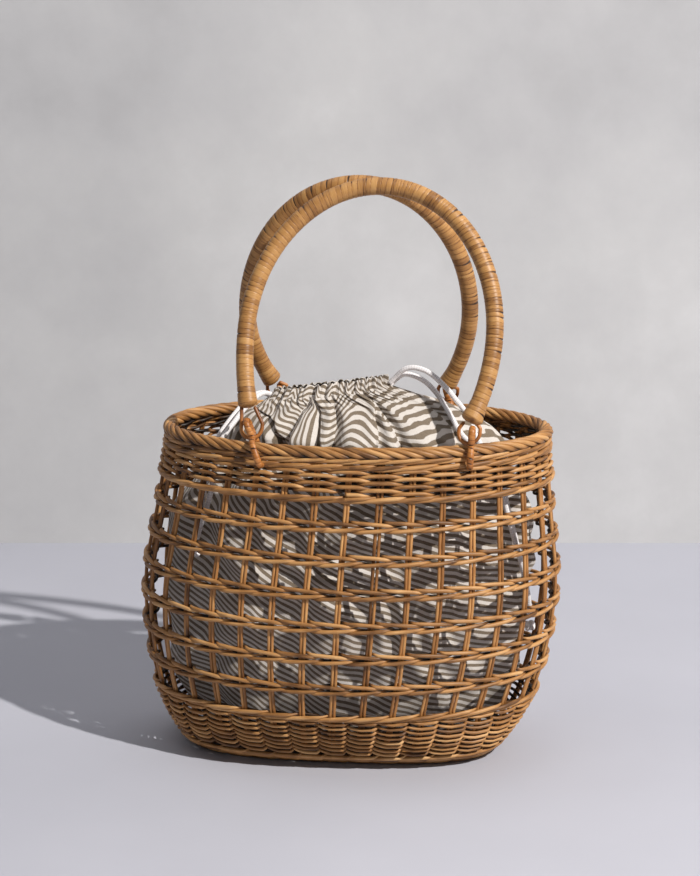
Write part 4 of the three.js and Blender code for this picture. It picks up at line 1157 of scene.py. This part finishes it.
# In mm: the middle of the knot, and each strand's route from the neck of the bag to it
DRAWSTRINGS = {
    "right": ((129.5, -21, 97), [
        (21.7, -2, 264.5), (25.8, -3, 269.3), (31, -5, 274.5), (37.4, -6, 276.4), (45.1, -6.5, 274.9),
        (51.6, -7, 271.3), (57.4, -7, 266.4), (62.9, -6.5, 260.8), (68.4, -6, 254.1), (73.6, -5.5, 248),
        (77.9, -9.5, 243.4), (81, -16.1, 238.8), (83.8, -23.2, 234), (87.5, -30.2, 229.6),
        (92.6, -34.6, 223), (97.5, -37, 215.5), (101.8, -38, 207), (105, -38, 197), (109, -37.5, 184),
        (113, -36.5, 171), (117.5, -35, 157), (122, -32.5, 143), (125.5, -29.5, 129), (128, -26, 116),
        (129, -23, 106),
    ], [
        (21.7, 2, 262), (26.3, 3.2, 266.6), (31.5, 2.2, 270), (38.7, 1, 268.9), (45.9, 0, 265.4),
        (51.4, -1, 260.8), (56.3, -2.5, 255.6), (60.4, -8.1, 251), (64.5, -15.4, 247), (68.4, -22.3, 242.9),
        (71.8, -28.3, 238.8), (76.7, -32.6, 234), (83.6, -35.6, 228.6), (90.8, -35.6, 221.3),
        (97.5, -34, 213), (102.3, -33.2, 205.5), (106, -33, 197.5), (109.5, -32.5, 184),
        (113.5, -31.5, 171), (117.5, -30, 157), (121.5, -27.5, 143), (125, -24.5, 129), (127.5, -21.5, 116),
        (129, -20, 106),
    ]),
    "left": ((-105, -47, 151), [
        (-61.3, -2, 254.3), (-65.8, -5, 255.8), (-70.5, -10, 254), (-75, -17, 250), (-79, -24.5, 245.5),
        (-82.5, -31.5, 240.5), (-86.5, -37.5, 235), (-90, -42.5, 228.5), (-92, -46, 218), (-93, -48.5, 206),
        (-94.5, -50, 194), (-97.5, -50, 182), (-101, -49.5, 170), (-103.5, -48, 160),
    ], [
        (-62.3, 2, 252.8), (-67.8, 2, 254.6), (-73.5, -2.5, 253.5), (-79, -9.5, 249.5), (-84, -17, 243.5),
        (-88.5, -24.5, 237.5), (-92.5, -31, 231), (-95, -36, 223.5), (-97.5, -40.5, 214),
        (-98.5, -43.5, 203), (-100, -45, 192), (-102, -45.5, 180), (-103.5, -45.5, 170), (-105, -45.5, 160),
    ]),
}


def cord_material():
    nodes = Nodes(bpy.data.materials.new("white_cord"))
    grain = nodes.attribute("grain", "Vector")
    fibres = nodes.noise(grain, (700, 2600, 2600))
    shade = nodes.math("MULTIPLY_ADD", fibres, 0.5, nodes.attribute("shade"))
    colours = nodes.ramp(shade, [(0.3, "b9b4b4"), (0.75, "eeebec"), (1.0, "f7f5f6")])
    nodes.surface(colours, 0.9, 0.2, fibres, 0.4, 0.2 * MM)
    return nodes.owner


white_cord = cord_material()


def drawstring(side, number, route):
    path, along = resampled(catmull(np.array(route) * MM, 12), CORD_STEP)
    angle = angles_round(CORD_SIDES)
    run = math.tau * along[:, None] / BRAID_LENGTH
    braid = np.sin(4 * angle + 2 * run) * np.sin(4 * angle - 2 * run)
    rings = tube_rings(path, np.array([0.3, 1.0, 0.2]), CORD_RADIUS * (1.0 + 0.06 * braid))
    strands = Strands()
    # Painted shade: the cord is darker in the braid's grooves, where it is thinner
    strands.add_rings(rings, 0.45 + 0.3 * braid)
    name = f"drawstring_{side}"
    piece = strands.build(f"{name}_{number + 1}", white_cord, "basket", name)
    centre = leaned(path)


def knot(side, centre):
    """An overhand knot that ties the two ends together."""
    t = angles_round(120)
    x = np.sin(t) + 2 * np.sin(2 * t)
    y = np.cos(t) - 2 * np.cos(2 * t)
    z = -1.6 * np.sin(3 * t)
    path = np.array(centre) * MM + KNOT_SIZE * np.stack([x, 0.9 * y, 1.25 * z], axis=1)
    strands = Strands()
    strands.add(path, KNOT_CORD_RADIUS, 0.55, (0.2, 0.3, 1.0), sides=12, closed=True)
    return strands.build(f"drawstring_{side}_knot", white_cord, "basket", f"drawstring_{side}")


for side, (centre, *routes) in DRAWSTRINGS.items():
    tied = knot(side, centre)
    for number, route in enumerate(routes):
        drawstring(side, number, route)


# Floor, backdrop and light, whose lamps face this point
LAMP_TARGET = np.array([0, 0, 0.15])
STAGE_SIZE = 6.0
WALL_FOOT = np.array([-47, 505, 0]) * MM


def quad(name, corners, material):
    return mesh_object(name, np.array(corners), np.array([[0, 1, 2, 3]]), material)


def stage():
    pale = Nodes(bpy.data.materials.new("pale_floor"))
    cloudy = pale.noise(pale.add("NewGeometry", "Position"), 2.2, 5.0)
    pale.surface(pale.ramp(cloudy, [(0.3, "b2b3bd"), (0.7, "bfc0ca")]), 0.9)
    paint = Nodes(bpy.data.materials.new("pale_wall"))
    place = paint.add("NewGeometry", "Position")
    # The wall is a little lighter low down
    height = paint.add("SeparateXYZ", "Z", {0: place})
    low_down = paint.math("MAXIMUM", paint.math("MULTIPLY_ADD", height, -0.6, 0.24))
    cloudy = paint.math("ADD", paint.noise(place, 3.2, 8.0, 0.62), low_down)
    stops = [(0.32, "b0b0b2"), (0.5, "bebec0"), (0.68, "cacacb"), (1.0, "e4e4e5")]
    shown = paint.surface(paint.ramp(cloudy, stops), 0.95)
    # It is only there from the front, so that the views from behind see the basket
    hidden = paint.add("BsdfTransparent", "BSDF")
    paint.blend_to_output(paint.add("NewGeometry", "Backfacing"), shown, hidden)
    ahead = STAGE_SIZE * np.array([math.cos(CAMERA_TURN), math.sin(CAMERA_TURN), 0])
    toward = STAGE_SIZE * np.array([math.sin(CAMERA_TURN), -math.cos(CAMERA_TURN), 0])
    left, right, up = WALL_FOOT - ahead, WALL_FOOT + ahead, np.array([0, 0, STAGE_SIZE])
    floor = quad("floor", [left + toward, right + toward, right - toward, left - toward], pale.owner)
    quad("backdrop", [left, right, right + up, left + up], paint.owner)


def lamp(name, place, size, power, colour):
    """A round lamp that faces the middle of the basket."""
    data = bpy.data.lights.new(name, "AREA")
    data.shape = "DISK"
    data.size = size
    data.energy = power
    data.color = colour
    light = placed(name, data)
    light.location = place
    x, y, z = LAMP_TARGET - np.array(place)
    light.rotation_euler = (math.atan2(math.hypot(x, y), -z), 0, math.atan2(y, x) - math.pi / 2)


# The sun's direction, from its shadow in the photograph
KEY_DIRECTION = np.array([0.593, -0.447, 0.669])
KEY_DISTANCE = 3.0


SKY = {"Color": (0.95, 0.96, 1.0, 1), "Strength": 0.16}
SKY_TO_THE_CAMERA = {"Color": (0.5, 0.5, 0.52, 1)}


def lights():
    nodes = Nodes(bpy.data.worlds.new("studio"))
    sky = nodes.fill(nodes.tree.nodes["Background"], "Background", SKY)
    seen = nodes.add("Background", "Background", SKY_TO_THE_CAMERA)
    nodes.blend_to_output(nodes.add("LightPath", "Is Camera Ray"), sky, seen)
    bpy.context.scene.world = nodes.owner
    lamp("key", LAMP_TARGET + KEY_DISTANCE * KEY_DIRECTION, 0.07, 108, (1.0, 0.965, 0.92))
    lamp("overhead", (-0.6, 0.3, 2.6), 2.2, 14, (0.94, 0.96, 1.0))


stage()
lights()
bpy.context.scene.view_settings.view_transform = "Standard"
